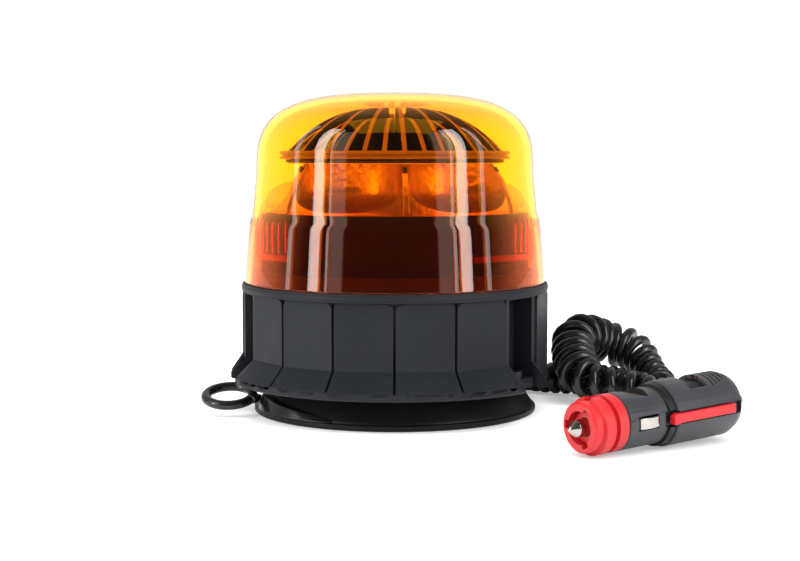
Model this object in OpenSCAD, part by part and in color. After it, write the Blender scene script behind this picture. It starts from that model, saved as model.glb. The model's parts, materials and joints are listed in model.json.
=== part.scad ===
// Magnetic-mount amber LED warning beacon with a curly cord and a universal lighter plug.
// Millimetres. Origin: centre of the magnet foot's face, on the surface it stands on. +Z up, front towards -Y.

/* [Lens] */
// Radius of the lens at its bottom edge
lens_r = 62; // [60:0.5:64]
// Height of the lens crown above the floor
lens_top_z = 130.4; // [126:0.2:134]
// Wall thickness of the lens
lens_wall = 2.4; // [1.8:0.1:2.8]

/* [Base housing] */
// Radius of the flange at the foot of the skirt
flange_r = 68; // [66:0.5:69]
// Height of the flange's lower face
flange_z = 12.9; // [12.5:0.1:13.1]
// Radius of the rim that the lens stands on
rim_r = 63; // [62.5:0.1:64]
// Height of the rim's upper face
rim_z = 52.8; // [52:0.1:53.5]
// Number of flat panels round the skirt
panels = 16; // [12:4:20]
// Width of the groove between two panels
groove_w = 0.9; // [0.6:0.1:1.4]

/* [Magnet foot] */
// Radius of the rubber lip on the floor
foot_r = 58.3; // [56:0.1:59]
// Outer radius of the steel magnet cup
cup_r = 48; // [46:0.5:49]

/* [Light unit] */
// Outer radius of the inner drum
drum_r = 55.2; // [54:0.1:56]
// Height of the drum's top
drum_z = 81.8; // [80:0.1:83]
// Number of reflector bowls
bowls = 6; // [4:1:8]
// Radius of the sphere that shapes a bowl
bowl_r = 18.5; // [16:0.5:19]
// Height of the LED board's lower face
board_z = 101.8; // [101:0.1:102.5]
// Radius of the heat sink's plate
sink_r = 47.3; // [45:0.1:48]
// Number of heat sink fins
fins = 36; // [24:4:36]
// Thickness of a fin
fin_t = 1.3; // [1:0.1:1.6]

/* [Curly cord] */
// Outer diameter of the coil
coil_d = 13.6; // [13:0.1:14]
// Diameter of the wire
wire_d = 3.9; // [3.6:0.1:4.2]

/* [Plug] */
// Radius of the ring on the bayonet adapter (fits a 21 mm lighter socket)
adapter_r = 10.5; // [10.3:0.05:10.6]
// Radius of the plug barrel
barrel_r = 10.4; // [10.2:0.05:10.4]
// Radius of the grip
grip_r = 12; // [11.6:0.1:12.2]
// Length of the plug from its nose to the tail
plug_len = 72; // [70:0.5:74]

/* [Hidden] */
$fn = 96;
over = 1; // how far a cutter runs past a face

// Base housing
step = 360 / panels;
body_r = 60.9; // corner radius of the panelled skirt
side_r = 62.8; // the same at its left and right sides
wall_r = 56.9; // inside radius of the skirt
cover_z = 13.2;
cover_t = 2.7;
cover_r = 61.8;
slope_low_z = 15.7;
slope_high_z = 23.3;
pocket_angles = [-33.75, 78.75, 191.25];
pocket_w = 18;
pocket_low_z = 17;
pocket_high_z = 48.8;
pocket_back_r = 51.4;
screw_r = 2.5;
screw_at_r = 56.2;

// Lens
shoulder_z = 77.4;
shoulder_r = 60;
neck_z = 84.4;
neck_r = 58.4;
crown_z = 98.6;
crown_r = 56.8;
crown_power = 3.1;
lens_z = 53;
ledge_r = 57;
ledge_z = 64;
ledge_t = 2.4;
ledge_spans = [[-61, 59], [182, 44]]; // start angle and sweep of each rest ledge

// Light unit
sink_z = board_z + 2;
sink_plate_t = 3.2;
fin_r = 44.3;
fin_rise = 16.8;
fin_axis_r = 8;
fin_power = 2.3;
fin_turn = 5;
bowl_turn = 5; // how far the bowls are turned from the base's own directions
hub_r = 11.9;
stack_r = 20;

// Pull ring
ring_centre = [-67.6, -13.8, 7.2];
ring_mid_r = 9.5;
ring_bar_r = 2;
ring_lean = 15; // how far the far side of the ring stands up
hinge_angle = 196; // where round the foot the ring's strap is rooted
hinge_r = 57.8;
hinge_z = 6;

// Plug: its own axis runs along +X from the nose
plug_at = [64.6, -108, 10.5];
plug_heading = 34.4;
plug_rise = 2.6;
adapter_len = 14.4;
barrel_end = 33;
collar_end = 36.5;
nose_r = 5.9;
tip_r = 3.1;
cavity_r = 7.4;

// Route of the curly part's centre line, from the base to the plug
coil_route = [
    [-9, 74, 7], [8, 78, 7], [24, 76.5, 7], [38, 70, 7], [50.5, 58.5, 7], [60.5, 46.5, 7],
    [68, 36, 7], [78, 30, 7], [90, 27.5, 7], [101, 28, 7], [110, 32, 7.5],
    [116, 39.5, 9.5], [116, 48, 13.5], [109.5, 54, 19], [99, 55.5, 24.5], [88.5, 52, 28],
    [80, 44, 29], [76.2, 34, 24.5], [75, 24, 17], [76.5, 15.5, 10.5], [81.5, 9, 7.5],
    [89, 4.5, 8], [97, 3, 8.6], [105, -1, 7.6], [112, -9, 7], [119, -22, 7], [125, -36, 7]
];
// Route of the straight lead at the base, and of the one at the plug
base_route = [[-36, 51.5, 7], [-31, 55, 7], [-25.5, 60, 7], [-19, 66.5, 7], [-13.5, 71.5, 7], [-8.5, 74.2, 7]];
plug_route = [
    [125, -35.5, 7], [127.5, -41.5, 7.6], [129.8, -48, 9.2], [130.8, -55, 11.6], [129.4, -61.5, 13.4],
    [126, -65.6, 13.9], [123.2, -67.6, 13.8]
];
coil_rings = 58;
lead_rings = 9;

// Point at parameter t (0 to 1) of a smooth curve through the points p
function spline(p, t) =
    let (n = len(p) - 1, s = min(t * n, n - 0.0001), i = floor(s), u = s - i,
         a = p[max(i - 1, 0)], b = p[i], c = p[i + 1], d = p[min(i + 2, n)])
    0.5 * (2 * b + (c - a) * u + (2 * a - 5 * b + 4 * c - d) * u * u + (3 * b - a - 3 * c + d) * u * u * u);
function unit(v) = v / norm(v);

// A closed tube of radius r along the route p
module tube(p, r, rings, sides) {
    centres = [for (i = [0:rings]) spline(p, i / rings)];
    ways = [for (i = [0:rings]) unit(centres[min(i + 1, rings)] - centres[max(i - 1, 0)])];
    points = [
        for (i = [0:rings])
            let (across = unit(cross(ways[i], [0, 0, 1])), up = cross(across, ways[i]))
            for (k = [0:sides - 1])
                let (a = 360 * (k + 0.5) / sides)
                centres[i] + r * (cos(a) * across + sin(a) * up)
    ];
    walls = [
        for (i = [0:rings - 1]) for (k = [0:sides - 1])
            [i * sides + k, i * sides + (k + 1) % sides, (i + 1) * sides + (k + 1) % sides, (i + 1) * sides + k]
    ];
    first = [for (k = [sides - 1:-1:0]) k];
    last = [for (k = [0:sides - 1]) rings * sides + k];
    polyhedron(points = points, faces = concat([first], walls, [last]));
}

// Turns children to an angle round the beacon's axis
module at(angle) {
    rotate([0, 0, angle]) children();
}

// Cylinders on a circle
module ring_of(count, radius, start = 0) {
    for (i = [0:count - 1]) rotate([0, 0, start + i * 360 / count]) translate([radius, 0, 0]) children();
}

// ---- magnet foot

module magnet_boot() {
    color("#1c1d1f") difference() {
        rotate_extrude() polygon([
            [8, 10], [cup_r, 10], [cup_r, 0], [foot_r - 0.7, 0], [foot_r, 0.7], [foot_r, 2.2],
            [foot_r - 1.2, 2.9], [54.4, 7], [51.5, 12], [51.5, cover_z], [8, cover_z]
        ]);
        ring_of(3, 30, 30) translate([0, 0, 9]) cylinder(r = 2.1, h = 6);
    }
}

module magnet_cup() {
    color("#9a9da0") difference() {
        rotate_extrude() polygon([
            [0, 7], [cup_r - 4, 7], [cup_r - 4, 0], [cup_r, 0], [cup_r, 10], [0, 10]
        ]);
        ring_of(3, 30, 30) translate([0, 0, 6]) cylinder(r = 2.1, h = 6);
    }
}

module ring_magnet() {
    color("#3a3a3d") difference() {
        translate([0, 0, 0.5]) cylinder(r = cup_r - 4.4, h = 6.5);
        translate([0, 0, -over]) cylinder(r = 19.4, h = 10);
        ring_of(3, 30, 30) translate([0, 0, -over]) cylinder(r = 4.2, h = 10);
    }
}

module pole_plate() {
    color("#9a9da0") cylinder(r = 19, h = 7);
}

module magnet_screws() {
    color("#b9bcbf") ring_of(3, 30, 30) {
        translate([0, 0, 4.6]) cylinder(r = 3.8, h = 2.4);
        translate([0, 0, 7]) cylinder(r = 2, h = cover_z - 7);
    }
}

// The moulded ring that peels the magnet off; rests beside the foot
module pull_ring() {
    root = [hinge_r * cos(hinge_angle), hinge_r * sin(hinge_angle), hinge_z];
    color("#1c1d1f") {
        translate(ring_centre) rotate([ring_lean, 0, 0])
            rotate_extrude() translate([ring_mid_r, 0]) circle(r = ring_bar_r, $fn = 32);
        hull() {
            translate(root) rotate([90, 0, hinge_angle]) cylinder(r = 1.2, h = 8, center = true, $fn = 24);
            translate(ring_centre + [9.7, -1.4, -0.3]) rotate([90, 0, hinge_angle])
                cylinder(r = 1.2, h = 6, center = true, $fn = 24);
        }
    }
}

// ---- base

module bottom_cover() {
    color("#2b2d30") difference() {
        translate([0, 0, cover_z]) cylinder(r = cover_r, h = cover_t);
        at(125) translate([58, 0, cover_z - over]) cylinder(r = 3.2, h = 5);
        at(60) translate([46, 0, cover_z - over]) cylinder(r = 4, h = 5);
        ring_of(3, 30, 30) translate([0, 0, cover_z - over]) cylinder(r = 1.6, h = 3);
        for (a = pocket_angles) at(a) translate([screw_at_r, 0, cover_z - over]) cylinder(r = 2.1, h = 5);
    }
}

module bottom_seal() {
    color("#111214") difference() {
        translate([0, 0, cover_z + cover_t]) cylinder(r = 54.6, h = 1);
        translate([0, 0, cover_z]) cylinder(r = 52.6, h = 6);
        for (a = pocket_angles) at(a) translate([pocket_back_r - 3, -pocket_w / 2 - 3, 10])
            cube([12, pocket_w + 6, 10]);
    }
}

module vent_plug() {
    color("#d8d8d2") at(60) translate([46, 0, cover_z]) cylinder(r = 3.9, h = cover_t + 2.2);
}

// Outline of the housing's solid of revolution below the rim
module flange_outline() {
    polygon([
        [40, flange_z], [flange_r - 0.7, flange_z], [flange_r, flange_z + 0.7],
        [flange_r, slope_low_z], [body_r - 0.6, slope_high_z], [40, slope_high_z]
    ]);
}

// Radius of a corner of the skirt; it bulges at both sides
function corner_r(i) = i % (panels / 2) == 0 ? side_r : body_r;

module base_housing() {
    color("#34373b") difference() {
        union() {
            difference() {
                union() {
                    rotate_extrude() flange_outline();
                    translate([0, 0, slope_low_z])
                        linear_extrude(rim_z - 3 - slope_low_z) polygon([
                            for (i = [0:panels - 1]) corner_r(i) * [cos(i * step), sin(i * step)]
                        ]);
                    translate([0, 0, rim_z - 3.2]) cylinder(r = rim_r, h = 3.2);
                    translate([0, 0, rim_z - over]) cylinder(r = 59, h = 7);
                }
                // hollow of the skirt, seat of the bottom cover and the way up into the drum
                translate([0, 0, -over]) cylinder(r = cover_r + 0.2, h = cover_z + cover_t + over);
                cylinder(r = wall_r, h = rim_z - 4);
                cylinder(r = 51.5, h = rim_z + over);
                translate([0, 0, rim_z]) cylinder(r = 56.6, h = 8);
            }
            // walls round the three screw pockets
            for (a = pocket_angles) at(a) translate([pocket_back_r - 2.2, -pocket_w / 2 - 2.2, cover_z + cover_t])
                cube([7.5, pocket_w + 4.4, rim_z - 4 - cover_z - cover_t + 0.2]);
        }
        for (a = pocket_angles) at(a) {
            translate([pocket_back_r, -pocket_w / 2, pocket_low_z])
                cube([20, pocket_w, pocket_high_z - pocket_low_z]);
            translate([61.5, -pocket_w / 2, flange_z - over]) cube([10, pocket_w, 10]);
            translate([screw_at_r, 0, flange_z]) cylinder(r = screw_r, h = 6);
        }
        // grooves between the panels, up the wall and down the slope
        for (i = [0:panels - 1]) at(i * step) {
            translate([corner_r(i) - 1.2, -groove_w / 2, slope_high_z - 1])
                cube([3, groove_w, rim_z - 3.2 - slope_high_z + 1]);
            translate([flange_r - 1, 0, slope_low_z]) rotate([0, -45, 0])
                translate([-0.9, -groove_w / 2, 0]) cube([1.9, groove_w, 11]);
        }
        // seat of the lens seal
        translate([0, 0, rim_z - 0.8]) difference() {
            cylinder(r = 61.6, h = 3);
            cylinder(r = 59.4, h = 3);
        }
    }
}

module base_screws() {
    color("#c4c6c8") for (a = pocket_angles) at(a) translate([screw_at_r, 0, 0]) {
        translate([0, 0, cover_z]) cylinder(r = 2, h = pocket_low_z - cover_z);
        translate([0, 0, pocket_low_z]) difference() {
            cylinder(r = 4, h = 3);
            translate([0, 0, 1.2]) cylinder(r = 2.2, h = 3, $fn = 6);
        }
    }
}

module lens_seal() {
    color("#111214") translate([0, 0, rim_z - 0.8]) difference() {
        cylinder(r = 61.5, h = 1);
        translate([0, 0, -over]) cylinder(r = 59.5, h = 3);
    }
}

// Points of the lens's crown, a superellipse, set in from the outside by t
function crown(t) = [
    for (a = [0, 7, 14, 21, 28, 35, 42, 49, 56, 63, 70, 77, 83, 87, 89])
        [(crown_r - t) * pow(cos(a), 2 / crown_power),
         crown_z + (lens_top_z - t - crown_z) * pow(sin(a), 2 / crown_power)]
];
function lens_line(t) = concat(
    [[lens_r - t, lens_z], [shoulder_r - t, shoulder_z], [neck_r - t + 0.3, neck_z - 3], [neck_r - t - 0.2, neck_z]],
    crown(t),
    [[0, lens_top_z - t]]
);

module lens() {
    outside = lens_line(0);
    inside = lens_line(lens_wall);
    color("#ffa51e", 0.55) {
        rotate_extrude() polygon(concat(outside, [for (i = [len(inside) - 1:-1:0]) inside[i]]));
        // inner rest ledges on both sides
        for (span = ledge_spans) rotate([0, 0, span[0]]) rotate_extrude(angle = span[1])
            translate([ledge_r, ledge_z]) square([2.6, ledge_t]);
    }
}

// ---- light unit

module inner_drum() {
    color("#202124") difference() {
        union() {
            difference() {
                translate([0, 0, rim_z]) cylinder(r = drum_r, h = drum_z - rim_z);
                translate([0, 0, rim_z - over]) cylinder(r = drum_r - 2.2, h = drum_z - rim_z - 1);
            }
            ring_of(3, 44, 30) translate([0, 0, 61.6]) cylinder(r = 3.2, h = drum_z - 62);
        }
        translate([0, 0, 70]) cylinder(r = 6, h = 20);
        ring_of(3, 44, 30) translate([0, 0, 61]) cylinder(r = 1.5, h = 12);
        ring_of(3, stack_r, 30) translate([0, 0, 70]) cylinder(r = 1.5, h = 20);
    }
}

module driver_board() {
    color("#1f6b3a") difference() {
        translate([0, 0, 60]) cylinder(r = 50, h = 1.6);
        ring_of(3, 44, 30) translate([0, 0, 59]) cylinder(r = 1.6, h = 4);
    }
}

module capacitors() {
    color("#2a3550") for (p = [[20, 8], [20, -8], [8, 22]])
        translate([p[0], p[1], 61.6]) cylinder(r = 5, h = 12);
}

module inductor() {
    color("#7a4a22") translate([-20, 12, 61.6]) difference() {
        cylinder(r = 8, h = 7);
        translate([0, 0, -over]) cylinder(r = 3.4, h = 10);
    }
}

module driver_chips() {
    color("#17181a") for (p = [[-8, -14, 7, 5], [4, -24, 5, 4], [-26, -8, 6, 6], [24, -24, 4, 4], [-4, 4, 5, 5]])
        translate([p[0], p[1], 61.6]) cube([p[2], p[3], 1.6]);
}

module board_connector() {
    color("#e6e2d4") translate([-34, -22, 61.6]) cube([8, 10, 7]);
}

module board_screws() {
    color("#c4c6c8") ring_of(3, 44, 30) {
        translate([0, 0, 57.9]) cylinder(r = 2.8, h = 2.1);
        translate([0, 0, 60]) cylinder(r = 1.5, h = 9);
    }
}

// Two supply wires from the bottom cover up to the driver board
module supply_lead() {
    color("#b02020") for (a = [123.4, 126.6]) at(a) {
        translate([48, 0, 17.9]) cylinder(r = 0.9, h = 60 - 17.9);
        translate([48, 0, 18.8]) rotate([0, 90, 0]) cylinder(r = 0.9, h = 7.9);
        translate([55.9, 0, cover_z + cover_t]) cylinder(r = 0.9, h = 18.8 - cover_z - cover_t);
    }
}

// Two wires from the driver board up the hub to the LED board
module led_lead() {
    color("#d0a020") for (y = [-1.6, 1.6]) translate([0, y, 61.6]) cylinder(r = 0.9, h = board_z - 61.6);
}

module reflector_ring() {
    color("#f2c36a") difference() {
        rotate_extrude() polygon([
            [5, drum_z], [51, drum_z], [51, drum_z + 4.5], [40.5, board_z], [5, board_z]
        ]);
        for (i = [0:bowls - 1]) at(i * 360 / bowls + bowl_turn) translate([47.5, 0, board_z + 0.2]) sphere(r = bowl_r);
        ring_of(3, stack_r, 30) translate([0, 0, drum_z - over]) cylinder(r = 1.5, h = 22);
    }
}

// Small latches that hold the reflector between its bowls
module reflector_clips() {
    color("#e8a840") for (a = [30:60:330]) at(a + bowl_turn) translate([51.1, -2, drum_z]) cube([1.4, 4, 5]);
}

module led_board() {
    color("#d9dadb") difference() {
        translate([0, 0, board_z]) cylinder(r = 44, h = 1.6);
        ring_of(3, stack_r, 30) translate([0, 0, board_z - over]) cylinder(r = 1.5, h = 4);
    }
}

module led_emitters() {
    color("#ffe08a") for (i = [0:bowls - 1]) at(i * 360 / bowls + bowl_turn)
        for (side = [-1, 0, 1]) translate([35, side * 5.5, board_z - 0.5]) {
            cube([3.5, 3.5, 1], center = true);
            translate([0, 0, -0.5]) difference() {
                sphere(r = 1.4, $fn = 24);
                translate([-2, -2, 0]) cube([4, 4, 2]);
            }
        }
}

module thermal_pad() {
    color("#8a8f96") difference() {
        translate([0, 0, board_z + 1.6]) cylinder(r = 43, h = 0.4);
        ring_of(3, stack_r, 30) translate([0, 0, board_z]) cylinder(r = 1.5, h = 4);
    }
}

// Height of a fin's upper edge at radius r
function fin_edge(r) = sink_z + sink_plate_t + fin_rise * (1 - pow(max(r - fin_axis_r, 0) / (fin_r - fin_axis_r), fin_power));

module fin(top_drop) {
    low = sink_z + sink_plate_t - 0.4;
    edge = [for (r = [fin_r:-3.6:hub_r + 0.3]) [r, fin_edge(r) - top_drop * (fin_r - r) / fin_r]];
    rotate([90, 0, 0]) translate([0, 0, -fin_t / 2]) linear_extrude(fin_t)
        polygon(concat([[hub_r - 1.5, low], [fin_r, low]], edge, [[hub_r - 1.5, edge[len(edge) - 1][1]]]));
}

module heat_sink() {
    color("#2c2a28") difference() {
        union() {
            translate([0, 0, sink_z]) cylinder(r = sink_r - 0.7, h = sink_plate_t);
            translate([0, 0, sink_z]) cylinder(r = sink_r, h = 1);
            translate([0, 0, sink_z + sink_plate_t - 1.2]) cylinder(r = sink_r, h = 1.2);
            translate([0, 0, sink_z + 1]) cylinder(r = hub_r, h = 15);
            for (i = [0:2:fins - 1]) rotate([0, 0, i * 360 / fins + fin_turn]) fin(0);
            for (i = [1:2:fins - 1]) rotate([0, 0, i * 360 / fins + fin_turn]) fin(5.5);
        }
        ring_of(3, stack_r, 30) translate([0, 0, sink_z - over]) cylinder(r = 1.5, h = 3.2);
    }
}

module stack_screws() {
    color("#c4c6c8") ring_of(3, stack_r, 30) {
        translate([0, 0, drum_z - 4.2]) cylinder(r = 2.8, h = 1.7);
        translate([0, 0, drum_z - 2.5]) cylinder(r = 1.5, h = sink_z + 2 - drum_z + 2.5);
    }
}

// ---- cord

module cord_gland() {
    color("#151618") {
        at(125) translate([60, 0, 4.6]) cylinder(r = 3.2, h = cover_z - 5);
        at(125) translate([58, 0, cover_z - 1]) cylinder(r = 3.1, h = cover_t + 1);
        translate(base_route[0] - [2, 1.5, 0]) rotate([0, 90, 36]) cylinder(r1 = 4, r2 = 2.7, h = 9);
    }
}

module cord_lead_base() {
    color("#101113") tube(base_route, wire_d / 2, lead_rings, 8);
}

module curly_cord() {
    color("#101113") tube(coil_route, coil_d / 2, coil_rings, 12);
}

module cord_lead_plug() {
    color("#101113") tube(plug_route, wire_d / 2, lead_rings + 2, 8);
}

// ---- plug, built along +X and then laid on the floor

module lay_plug() {
    translate(plug_at) rotate([0, -plug_rise, plug_heading]) children();
}

// A solid of revolution about the plug's axis from an outline of [x, radius] points
module turned(outline) {
    rotate([0, 90, 0]) rotate_extrude() polygon([for (q = outline) [q[1], q[0]]]);
}

module plug_shell_solid() {
    difference() {
        turned([
            [adapter_len, 0], [adapter_len, barrel_r - 1.2], [adapter_len + 0.8, barrel_r], [barrel_end, barrel_r],
            [barrel_end, barrel_r - 1.4], [collar_end, barrel_r - 1.4], [collar_end, grip_r - 0.5],
            [collar_end + 0.5, grip_r], [plug_len - 6, grip_r], [plug_len - 2.4, grip_r - 1.4],
            [plug_len - 0.6, grip_r - 4], [plug_len, grip_r - 7], [plug_len, 0]
        ]);
        turned([[adapter_len + 6, 0], [adapter_len + 6, cavity_r], [plug_len - 8, cavity_r], [plug_len - 8, 0]]);
        // seats of the nose and of the strain relief
        turned([[adapter_len - over, 0], [adapter_len - over, nose_r + 0.1], [adapter_len + 7, nose_r + 0.1], [adapter_len + 7, 0]]);
        turned([[plug_len - 9, 0], [plug_len - 9, 3.4], [plug_len + over, 3.4], [plug_len + over, 0]]);
        // windows of the side contacts and slots of the lock sliders
        translate([19, -20, -2.6]) cube([9.6, 40, 5.2]);
        for (side = [-1, 1]) {
            translate([31.6, side * 10.6 - 2.6, -2.8]) cube([5.6, 5.2, 5.6]);
            translate([34, side * 11 - 1.6, -2.3]) cube([35, 3.4, 4.6]);
        }
    }
}

module plug_shell_upper() {
    color("#2b2c30") lay_plug() difference() {
        intersection() {
            plug_shell_solid();
            translate([0, -20, 0]) cube([90, 40, 20]);
        }
        // thumb recess and the grip ribs behind it
        translate([46, -6, grip_r - 2]) cube([9, 12, 3]);
        for (i = [0:4]) translate([57.2 + i * 2.1, -7, grip_r - 1.6]) cube([1.1, 14, 3]);
        translate([20, -2.4, barrel_r - 0.7]) cube([7, 4.8, 3]);
    }
}

module plug_shell_lower() {
    color("#2b2c30") lay_plug() difference() {
        intersection() {
            plug_shell_solid();
            translate([0, -20, -20]) cube([90, 40, 20]);
        }
        translate([46, 0, -20]) cylinder(r = 2.6, h = 20 - cavity_r - 1.2);
        translate([46, 0, -20]) cylinder(r = 1.2, h = 20);
    }
}

module plug_screws() {
    color("#c4c6c8") lay_plug() translate([46, 0, -cavity_r - 3.2]) {
        cylinder(r = 2.4, h = 2);
        translate([0, 0, 2]) cylinder(r = 1.2, h = 2.6);
    }
}

module plug_collar() {
    color("#18191b") lay_plug() difference() {
        turned([
            [barrel_end, barrel_r - 1.4], [barrel_end, 11], [barrel_end + 0.4, 11.4], [collar_end - 0.4, 11.4],
            [collar_end, 11], [collar_end, barrel_r - 1.4]
        ]);
        for (side = [-1, 1]) translate([31, side * 10.6 - 3, -2.9]) cube([7, 6, 5.8]);
    }
}

module plug_nose() {
    color("#232426") lay_plug() turned([
        [2.6, tip_r + 0.25], [2.6, nose_r - 0.5], [3.2, nose_r], [adapter_len + 7, nose_r],
        [adapter_len + 7, 4.2], [9, 4.2], [9, tip_r + 0.25]
    ]);
}

module plug_adapter() {
    color("#e02430") lay_plug() difference() {
        turned([
            [0, nose_r + 0.06], [0, 8.4], [0.8, 9.2], [4, 9.2], [4.4, adapter_r], [8.1, adapter_r], [8.5, 9],
            [10, 9], [10.3, barrel_r], [adapter_len - 0.1, barrel_r], [adapter_len - 0.1, nose_r + 0.06]
        ]);
        // bayonet slot
        translate([4, -1.6, 8.6]) cube([4.2, 3.2, 4]);
        translate([6.4, -1.6, 8.6]) cube([1.8, 6.4, 4]);
    }
}

module tip_contact() {
    color("#d8d4c8") lay_plug() turned([
        [-4.6, 0], [-4.6, 0.5], [-4.1, 1.1], [-2.2, 2.7], [-1.6, tip_r], [9.4, tip_r], [9.4, 4], [11, 4], [11, 2.6],
        [8, 2.6], [8, 0]
    ]);
}

// Coil spring behind the tip, on the tip's own body
module tip_spring() {
    turns = 4;
    per_turn = 10;
    spring_path = [for (i = [0:turns * per_turn]) [11.6 + i * 0.11, 2.9 * cos(36 * i), 2.9 * sin(36 * i)]];
    sides = 6;
    n = len(spring_path) - 1;
    points = [for (i = [0:n]) for (k = [0:sides - 1])
        let (a = 36 * i, b = 60 * k, r = 2.9 + 0.35 * cos(b))
        [11.6 + i * 0.11 + 0.35 * sin(b), r * cos(a), r * sin(a)]];
    walls = [for (i = [0:n - 1]) for (k = [0:sides - 1])
        [i * sides + k, (i + 1) * sides + k, (i + 1) * sides + (k + 1) % sides, i * sides + (k + 1) % sides]];
    color("#c8c8c8") lay_plug() polyhedron(points = points, faces = concat(
        [[for (k = [0:sides - 1]) k]], walls, [[for (k = [sides - 1:-1:0]) n * sides + k]]));
}

module fuse() {
    color("#dfe6ea") lay_plug() turned([[24, 0], [24, 3.15], [54, 3.15], [54, 0]]);
}

module fuse_clip() {
    color("#c9a24a") lay_plug() turned([
        [52, 3.15], [52, 3.9], [55, 3.9], [55, 2], [62, 2], [62, 0], [54, 0], [54, 3.15]
    ]);
}

// Bowed side contact; side is -1 or 1
module side_contact(side) {
    color("#d8d4c8") lay_plug() intersection() {
        translate([23.8, side * (barrel_r - 11.3), -2]) cylinder(r = 12.4, h = 4);
        translate([19.4, side > 0 ? 8.4 : -12.4, -2]) cube([8.8, 4, 4]);
    }
}

module side_contact_left() {
    side_contact(1);
}

module side_contact_right() {
    side_contact(-1);
}

// Red bar in the grip's side with a hooked head in front
module lock_slider(side) {
    color("#e02430") lay_plug() {
        translate([36, side > 0 ? 9.7 : -12.3, -1.8]) cube([31, 2.6, 3.6]);
        translate([34, side > 0 ? 9.7 : -12.3, -2.1]) cube([3, 2.6, 4.2]);
    }
}

module lock_slider_left() {
    lock_slider(1);
}

module lock_slider_right() {
    lock_slider(-1);
}

module plug_strain_relief() {
    color("#151618") lay_plug() turned([
        [plug_len - 8.9, 0], [plug_len - 8.9, 3.3], [plug_len, 3.3], [plug_len + 1.6, 2.6], [plug_len + 1.6, 0]
    ]);
}

magnet_boot();
magnet_cup();
ring_magnet();
pole_plate();
magnet_screws();
pull_ring();
bottom_cover();
bottom_seal();
vent_plug();
base_housing();
base_screws();
lens_seal();
lens();
inner_drum();
driver_board();
capacitors();
inductor();
driver_chips();
board_connector();
board_screws();
supply_lead();
led_lead();
reflector_ring();
reflector_clips();
led_board();
led_emitters();
thermal_pad();
heat_sink();
stack_screws();
cord_gland();
cord_lead_base();
curly_cord();
cord_lead_plug();
plug_strain_relief();
plug_shell_upper();
plug_shell_lower();
plug_screws();
plug_collar();
plug_nose();
plug_adapter();
tip_contact();
tip_spring();
fuse();
fuse_clip();
side_contact_left();
side_contact_right();
lock_slider_left();
lock_slider_right();
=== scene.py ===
"""Looks of a magnet-mount amber warning beacon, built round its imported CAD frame."""

import json
import logging
import math
from collections.abc import Callable, Sequence
from dataclasses import dataclass, field
from enum import Enum

import bmesh
import bpy
from mathutils import Matrix, Vector

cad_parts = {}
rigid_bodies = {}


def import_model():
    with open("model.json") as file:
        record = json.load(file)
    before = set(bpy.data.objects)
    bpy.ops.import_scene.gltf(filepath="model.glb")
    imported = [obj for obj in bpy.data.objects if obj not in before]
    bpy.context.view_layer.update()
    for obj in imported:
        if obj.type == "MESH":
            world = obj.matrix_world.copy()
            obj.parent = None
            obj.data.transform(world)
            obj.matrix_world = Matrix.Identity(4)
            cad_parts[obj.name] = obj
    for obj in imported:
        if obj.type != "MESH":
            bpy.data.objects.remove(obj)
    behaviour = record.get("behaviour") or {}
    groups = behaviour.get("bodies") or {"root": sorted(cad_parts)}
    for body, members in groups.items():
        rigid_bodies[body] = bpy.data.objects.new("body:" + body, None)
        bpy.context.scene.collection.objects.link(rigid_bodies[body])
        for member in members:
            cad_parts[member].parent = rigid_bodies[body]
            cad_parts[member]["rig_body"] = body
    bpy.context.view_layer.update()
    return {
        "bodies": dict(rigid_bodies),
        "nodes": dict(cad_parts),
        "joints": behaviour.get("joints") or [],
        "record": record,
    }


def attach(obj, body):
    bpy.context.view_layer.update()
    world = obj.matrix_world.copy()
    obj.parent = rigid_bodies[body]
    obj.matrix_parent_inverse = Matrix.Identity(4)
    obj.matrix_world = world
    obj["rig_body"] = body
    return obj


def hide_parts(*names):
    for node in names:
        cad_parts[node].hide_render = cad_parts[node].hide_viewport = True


LOG = logging.getLogger("beacon")
MM = 0.001
BODY = "beacon"

SHARP = 32.0  # degrees between two faces, past which their edge counts as sharp
FILLET_STEPS = 5

Point2 = tuple[float, float]
Point3 = tuple[float, float, float]
Corner = tuple[float, float, float]  # a point of an outline and its fillet's radius
Colour = tuple[float, float, float]


class Grain(Enum):
    """How coarse the moulded texture of a surface is, in cells per metre."""

    FINE = 2600.0
    MEDIUM = 1300.0
    COARSE = 500.0


# ---------------------------------------------------------------- shared mesh work


def link(name: str, mesh: bpy.types.Mesh) -> bpy.types.Object:
    """Puts a mesh in the scene.

    Args:
        name: The piece's name.
        mesh: Its mesh.

    Returns:
        The new object.
    """
    piece = bpy.data.objects.new(name, mesh)
    bpy.context.scene.collection.objects.link(piece)
    return piece


def from_bmesh(name: str, bm: bmesh.types.BMesh) -> bpy.types.Object:
    """Turns a bmesh into a piece that is shaded smooth, and frees it.

    Args:
        name: The piece's name.
        bm: The finished bmesh.

    Returns:
        The new object.
    """
    for face in bm.faces:
        face.smooth = True
    mesh = bpy.data.meshes.new(name)
    bm.to_mesh(mesh)
    bm.free()
    return link(name, mesh)


def polar(r: float, degrees: float, z: float = 0.0) -> Vector:
    """A point in metres, from a radius and a height in millimetres and a direction round the axis."""
    a = math.radians(degrees)
    return Vector((r * math.cos(a), r * math.sin(a), z)) * MM


def turned_by(degrees: float, axis: str = "Z") -> Matrix:
    """A turn about an axis through the origin."""
    return Matrix.Rotation(math.radians(degrees), 4, axis)


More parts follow.
